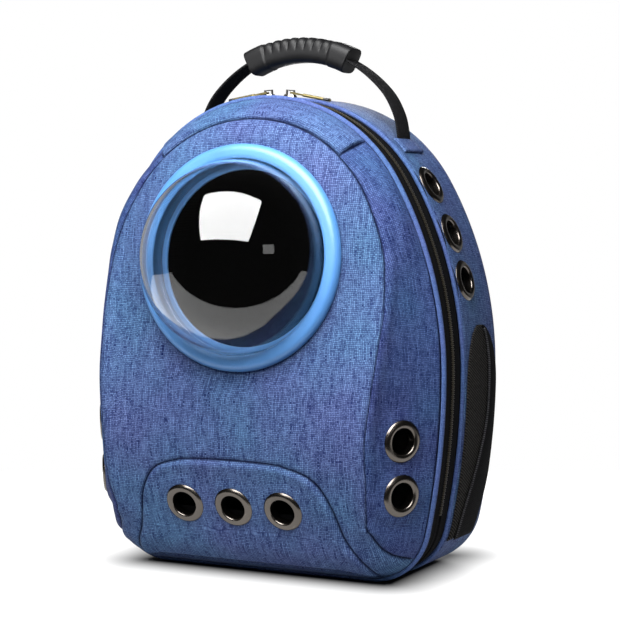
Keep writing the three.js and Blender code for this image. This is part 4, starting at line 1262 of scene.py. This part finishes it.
def strip_section(thickness, width, edge=0.5):
    """A flat strip with softly rounded edges."""
    t, w = thickness / 2, width / 2
    face = [(-t, -w + edge), (-t, -w * 0.5), (-t, 0), (-t, w * 0.5), (-t, w - edge), (-t * 0.5, w)]
    return face + [(t * 0.5, w)] + [(-a, b) for a, b in face[-2::-1]] + [(t * 0.5, -w), (-t * 0.5, -w)]


def grip_section(share):
    """The rubber sleeve's section: ribbed on its upper side, with a plain collar at each end."""
    from_middle = abs(share - 0.5) * 2
    collar = 1 + 0.05 * float(smooth(from_middle, RIBBED_SHARE, RIBBED_SHARE + 0.05))
    collar *= 0.9 + 0.1 * quarter_round((1 - from_middle) / 0.03)
    ribbed = 1.0
    if from_middle < RIBBED_SHARE:
        phase = (share - 0.5) / RIBBED_SHARE * RIB_COUNT
        ribbed = abs(math.sin(math.pi * (phase + RIB_COUNT / 2))) ** 0.38
    rows = []
    for a in turns(GRIP_SIDES, 0.5):
        c, s = math.cos(a), math.sin(a)
        square = (c**4 + s**4) ** -0.25 * collar / 2
        top = RIB_DEPTH * (1 - ribbed) * float(smooth(c, -0.1, 0.45))
        wide = s * square * GRIP_WIDTH - math.copysign(min(top / 2, 1), s)
        rows.append((c * square * GRIP_THICKNESS - top, wide))
    return rows


def tab_section(share):
    end = min(share, 1 - share) * TAB_LENGTH
    return strip_section(0.5 + 2.4 * quarter_round(end / TAB_ROUNDING), TAB_WIDTH, 1.2)


flat_sweep("handle_webbing_strap", webbing_path(), lambda share: strip_section(WEB_THICKNESS, WEB_WIDTH),
           web_cloth, "handle_webbing")
flat_sweep("handle_grip_sleeve", grip_arc(220), grip_section, rubber, "handle_grip")
tab_start = math.radians(WEB_BASE_ANGLE) - 1.2 / CROWN_RADIUS
for side_name, side in SIDES:
    angles = np.linspace(tab_start, tab_start + TAB_LENGTH / CROWN_RADIUS, 24)
    path = np.stack([crown_point(a, GAP + 0.9) * (side, 1) for a in angles])
    flat_sweep(f"handle_tab_{side_name}_cloth", path, tab_section, denim, f"handle_tab_{side_name}")

# Back pad: stuffed cloth, blown up by a simulation between its sewn channels

PAD_START = REAR_BACK + GAP
SLACK = 3.0
VOXEL = 0.004
PAD_CAP = 0.0045
CHANNEL_HEIGHTS = (128, 205, 282)
CHANNEL_DEPTH, CHANNEL_WIDTH = 2.8, 3.8
UPRIGHT_CHANNEL = (3.2, 0, 5.5)
UPRIGHT_ENDS = ((95, 120), (295, 325))
HELD_LAYER = 0.0025
HELD_DEPTH = 1.7
RESEWN_SHARE = 0.35
FACE_LAYERS = (0.004, 0.007)
# The pad's edge, from the shell to its face: inset, share of the thickness
PAD_SECTION = [(4, 0), (1.2, 0.08), (0.2, 0.3), (0, 0.5), (0.8, 0.72), (2.6, 0.9), (5, 0.985)]


def sewn_channels(x, z):
    """Depth of the pad's sewn channels: one up the middle and three across."""
    low, high = UPRIGHT_ENDS
    depth = soft_ridge(x, *UPRIGHT_CHANNEL) * smooth(z, *low) * (1 - smooth(z, *high))
    for height in CHANNEL_HEIGHTS:
        depth = np.maximum(depth, soft_ridge(z, CHANNEL_DEPTH, height, CHANNEL_WIDTH))
    return depth


def apply_modifiers(piece):
    """Turns what the piece's modifiers give into its own mesh."""
    evaluated = piece.evaluated_get(bpy.context.evaluated_depsgraph_get())
    mesh = bpy.data.meshes.new_from_object(evaluated)
    piece.modifiers.clear()
    piece.data = mesh


def inflate(piece, held, cap, last_frame=20):
    """Blows a pad up as stuffed cloth and keeps the result; no point moves further than the cap."""
    group = piece.vertex_groups.new(name="held")
    group.add([int(n) for n in np.nonzero(held)[0]], 1.0, "REPLACE")
    settings = piece.modifiers.new("cloth", "CLOTH").settings
    settings.quality = 5
    settings.mass = 0.3
    settings.use_pressure = True
    settings.uniform_pressure_force = 4
    settings.effector_weights.gravity = 0
    settings.vertex_group_mass = "held"
    start = mesh_points(piece.data)
    for step in range(1, last_frame + 1):
        bpy.context.scene.frame_set(step)
    apply_modifiers(piece)
    piece.vertex_groups.clear()
    moved = mesh_points(piece.data) - start
    length = np.linalg.norm(moved, axis=1, keepdims=True)
    moved *= cap * np.tanh(length / cap) / np.maximum(length, 1e-9)
    piece.data.vertices.foreach_set("co", (start + moved).ravel())
    bpy.context.scene.frame_set(1)


def back_pad():
    """The pad as rings from its edge to its middle, remeshed, blown up and sewn again."""
    line = loop(120)
    thickness = PAD_THICKNESS - SLACK
    rings = [line.place(PAD_INSET + inset, PAD_START + thickness * y) for inset, y in PAD_SECTION]
    edge, middle = rings[-1], np.array([0, 0, BODY_HEIGHT * BACK_MIDDLE])
    for share in np.linspace(0.03, 0.985, 44):
        ring = mix(edge, middle, share)
        ring[:, 1] = PAD_START + thickness * PAD_SECTION[-1][1] - sewn_channels(ring[:, 0], ring[:, 2])
        rings.append(ring)
    rings = np.stack(rings)
    pad = build("back_pad_cushion", rings, capped_faces(*rings.shape[:2]), pad_cloth)
    remesh = pad.modifiers.new("remesh", "REMESH")
    remesh.mode, remesh.voxel_size = "VOXEL", VOXEL
    apply_modifiers(pad)
    points = mesh_points(pad.data)
    rear = points[:, 1] < points[:, 1].min() + HELD_LAYER
    inflate(pad, rear | (sewn_channels(*points[:, [0, 2]].T * 1000) > HELD_DEPTH), PAD_CAP)
    pad.modifiers.new("subdivision", "SUBSURF").levels = 1
    apply_modifiers(pad)
    points = mesh_points(pad.data)
    face = smooth(points[:, 1] - points[:, 1].min(), *FACE_LAYERS)
    points[:, 1] -= RESEWN_SHARE * 0.001 * sewn_channels(*points[:, [0, 2]].T * 1000) * face
    pad.data.vertices.foreach_set("co", points.ravel())
    set_cloth(pad.data, points[:, [0, 2]])
    pad.data.shade_smooth()
    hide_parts("back_pad")


back_pad()

# Shoulder straps, with their buckles and webbing

STRAP_SIDES = 36
STRAP_ROUNDING = 0.45
STITCH_DEPTH = 0.35
STITCH_PLACE = 0.86
STITCH_WIDTH = 0.05
# The strap's middle, from the top down: share of the body's width, millimetres behind the pad, share of the
# body's height
STRAP_PATH = np.array([
    (0.14, 0.6, 0.852),
    (0.14, 9, 0.852),
    (0.146, 24, 0.83),
    (0.156, 31, 0.76),
    (0.168, 33, 0.67),
    (0.182, 30, 0.56),
    (0.198, 20, 0.46),
    (0.203, 15, 0.41),
    (0.203, 15, 0.385),
])


def soft_box(sides, half_width, half_thickness, squareness, edge_squareness):
    """A section between an ellipse and a box, as its places across and through."""
    c, s = np.cos(turns(sides, 0.5)), np.sin(turns(sides, 0.5))
    across = np.sign(c) * np.abs(c) ** squareness * half_width
    return across, np.sign(s) * np.abs(s) ** edge_squareness * half_thickness


def shoulder_strap(side_name, side):
    """A flat padded strip along a curve, its flat side along X, with a stitched line near each edge."""
    middle = STRAP_PATH * (side * BODY_WIDTH, 1, BODY_HEIGHT) + (0, PAD_START + PAD_THICKNESS, 0)
    path = catmull(middle, 90)
    along = unit(np.gradient(path, axis=0))
    across = unit(np.array([1.0, 0, 0]) - along * along[:, :1])
    out = np.cross(across, along)
    half = STRAP_WIDTH / 2
    a, b = soft_box(STRAP_SIDES, half, STRAP_THICKNESS / 2, STRAP_ROUNDING, STRAP_ROUNDING * 1.2)
    b = b * (1 - soft_ridge(np.abs(a), STITCH_DEPTH, half * STITCH_PLACE, half * STITCH_WIDTH))
    rings = path[:, None] + a[:, None] * across[:, None] + b[:, None] * out[:, None]
    node = f"shoulder_strap_{side_name}"
    strap = build(node + "_pad", rings, capped_faces(*rings.shape[:2]), pad_cloth, node,
                  cloth=flat_places(a, walked_ways(path)))


def finish_node(name, material):
    """Gives a CAD piece whose shape is right its own material."""
    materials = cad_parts[name].data.materials
    materials.clear()
    materials.append(material)


for side_name, side in SIDES:
    shoulder_strap(side_name, side)
    finish_node(f"strap_buckle_{side_name}", resin)
    finish_node(f"strap_webbing_{side_name}", web_cloth)

# Zip sliders, and pulls with a moulded sleeve that has a dark tip

SLEEVE_START, SLEEVE_END, TIP_LENGTH = 12.0, 0.5, 6.0
SLEEVE_HALF_WIDTH, SLEEVE_HALF_THICKNESS = 3.9, 1.45
SLEEVE_SIDES = 20
SLEEVE_ROUNDING = 1.2
TIP_GROOVE = (0.1, TIP_LENGTH, 0.5)


def pull_sleeve(side_name):
    """The sleeve on a metal tab, along the tab's own length and away from its hinge."""
    tab = source_points(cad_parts[f"zip_pull_{side_name}"])
    hinge = source_points(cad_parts[f"zip_slider_{side_name}"]).mean(0)
    centre = tab.mean(0)
    _, axes = np.linalg.eigh(np.cov((tab - centre).T))
    thick, wide, along = axes.T
    if along @ (centre - hinge) < 0:
        along = -along
    reach = (tab - centre) @ along
    length = reach.max() - reach.min()
    across, through = soft_box(SLEEVE_SIDES, SLEEVE_HALF_WIDTH, SLEEVE_HALF_THICKNESS, 0.6, 0.7)
    rings = []
    for place in np.linspace(SLEEVE_START, length - SLEEVE_END, 40):
        end = min(place - SLEEVE_START, length - SLEEVE_END - place)
        size = 0.55 + 0.45 * quarter_round(end / SLEEVE_ROUNDING)
        size -= soft_ridge(length - place, *TIP_GROOVE)
        middle = centre + along * (reach.min() + place)
        rings.append(middle + size * (across[:, None] * wide + through[:, None] * thick))
    piece = build(f"zip_pull_sleeve_{side_name}", rings, capped_faces(len(rings), SLEEVE_SIDES),
                  [old_brass, resin], body=f"pull_{side_name}")
    tip = centre + along * (reach.max() - TIP_LENGTH)
    for polygon in piece.data.polygons:
        place = np.array(polygon.center) * 1000 - (0, SHIFT_Y, 0)
        polygon.material_index = int((place - tip) @ along > 0)


for side_name, _ in SIDES:
    finish_node(f"zip_slider_{side_name}", bright_steel)
    finish_node(f"zip_pull_{side_name}", old_brass)
    pull_sleeve(side_name)

# Camera, as fitted to the photograph

FOCAL_PIXELS = 1812.92
PHOTO_SIDE = 620
SENSOR = 36.0
CAMERA_PLACE = (0.7433, -1.4633, 0.3297)
CAMERA_TARGET = (0.0429, -0.0757, 0.2303)


def aim(thing, target):
    thing.rotation_euler = (Vector(target) - thing.location).to_track_quat("-Z", "Y").to_euler()
    bpy.context.scene.collection.objects.link(thing)


camera_data = bpy.data.cameras.new("photo_camera")
camera_data.sensor_width = SENSOR
camera_data.lens = FOCAL_PIXELS / PHOTO_SIDE * SENSOR
camera = bpy.data.objects.new("photo_camera", camera_data)
camera.location = CAMERA_PLACE
aim(camera, CAMERA_TARGET)
bpy.context.scene.camera = camera

# Floor and light

VIEW_ANGLE = math.radians(26.78)
towards_camera = Vector((math.sin(VIEW_ANGLE), -math.cos(VIEW_ANGLE), 0))
FLOOR_EDGE = 0.33
FLOOR_BEHIND = 0.5
FLOOR_SIDE = 1.3
FLOOR_DROP = 0.0002
SHADOW_BOX = (0.115, 0.068, 0.0)
SHADOW_SHIFT = (0.0, 0.01, 0.0)
FLOOR_COLOUR = (0.12, 0.12, 0.121)
# How the floor's glow grows away from the foot, leaving a painted contact shadow round it: from, to, gain
GLOW = [(0.004, 0.05, 0.87), (0.05, 0.5, 0.25)]
BACKDROP_SIDE = (0.45, 0.75)
BACKDROP_TOP = (0.18, 0.45)
BACKDROP_LIGHT = 0.3
STUDIO_LIGHT = 0.025
DOME_PLACE = (0, -0.1263, 0.276)
BACK_PLACE = (0, 0.1, 0.22)
# Name, target, direction, distance, size, watts
LIGHTS = [
    ("softbox", DOME_PLACE, (0.15, -0.617, 0.772), 0.72, (0.8, 0.8), 29),
    ("side_window", DOME_PLACE, (0.88, -0.42, 0.18), 1.3, (0.3, 0.22), 0.3),
    ("rear_softbox", BACK_PLACE, (-0.4, 1.0, 0.3), 1.3, (0.6, 0.6), 15),
]


def floor_material():
    """A dim table that glows like the lit backdrop, with the glow faded out round the bag's foot as a painted
    contact shadow.
    """
    s = Shader("white_floor")

    def vector(operation, a, b=(0.0, 0.0, 0.0), output=0):
        return s.node("VectorMath", output=output, operation=operation, inputs={0: a, 1: b})

    place = vector("ADD", s.node("NewGeometry"), SHADOW_SHIFT)
    outside = vector("MAXIMUM", vector("SUBTRACT", vector("ABSOLUTE", place), SHADOW_BOX))
    away = vector("LENGTH", outside, output=1)
    glow = s.math("ADD", *[s.range(away, near, far, 0.0, gain) for near, far, gain in GLOW])
    return s.finish(
        Base_Color=FLOOR_COLOUR,
        Roughness=0.8,
        Specular_IOR_Level=0.1,
        Emission_Color=(1, 1, 1),
        Emission_Strength=glow,
    )


def floor():
    """A table turned to the camera, with its near edge below the picture."""
    across = Vector((math.cos(VIEW_ANGLE), math.sin(VIEW_ANGLE), 0)) * FLOOR_SIDE
    near, far = towards_camera * FLOOR_EDGE, towards_camera * -FLOOR_BEHIND
    mesh = bpy.data.meshes.new("floor")
    corners = (near - across, near + across, far + across, far - across)
    mesh.from_pydata([tuple(corner) for corner in corners], [], [(0, 1, 2, 3)])
    mesh.materials.append(floor_material())
    piece = bpy.data.objects.new("floor", mesh)
    piece.location.z = -FLOOR_DROP
    bpy.context.scene.collection.objects.link(piece)


def area_light(name, target, direction, distance, size, power):
    data = bpy.data.lights.new(name, "AREA")
    data.energy = power
    data.shape = "RECTANGLE"
    data.size, data.size_y = size
    light = bpy.data.objects.new(name, data)
    light.location = Vector(target) + Vector(direction).normalized() * distance
    aim(light, target)


def studio():
    """A dark studio with a lit backdrop behind; what the camera sees directly is white."""
    world = bpy.data.worlds.new("studio")
    bpy.context.scene.world = world
    world.use_nodes = True
    sky = Nodes(world.node_tree)
    direction = sky.node("TexCoord", output=GENERATED_PLACE)
    behind = sky.node("VectorMath", output=1, operation="DOT_PRODUCT",
                      inputs={0: direction, 1: tuple(-towards_camera)})
    height = sky.node("SeparateXYZ", output=2, inputs={0: direction})
    backdrop = sky.math(
        "MULTIPLY",
        sky.range(behind, *BACKDROP_SIDE, interpolation_type="SMOOTHSTEP"),
        sky.range(height, *BACKDROP_TOP, 1.0, 0.0, interpolation_type="SMOOTHSTEP"),
    )
    strength = sky.math("ADD", sky.math("MULTIPLY", backdrop, BACKDROP_LIGHT), STUDIO_LIGHT)
    seen = sky.node("Mix", inputs={0: sky.node("LightPath"), 2: strength, 3: 1.0})
    background = world.node_tree.nodes["Background"]
    sky.set(background.inputs["Color"], (1, 1, 1))
    sky.set(background.inputs["Strength"], seen)
    for light in LIGHTS:
        area_light(*light)
    bpy.context.scene.view_settings.view_transform = "Standard"


floor()
studio()
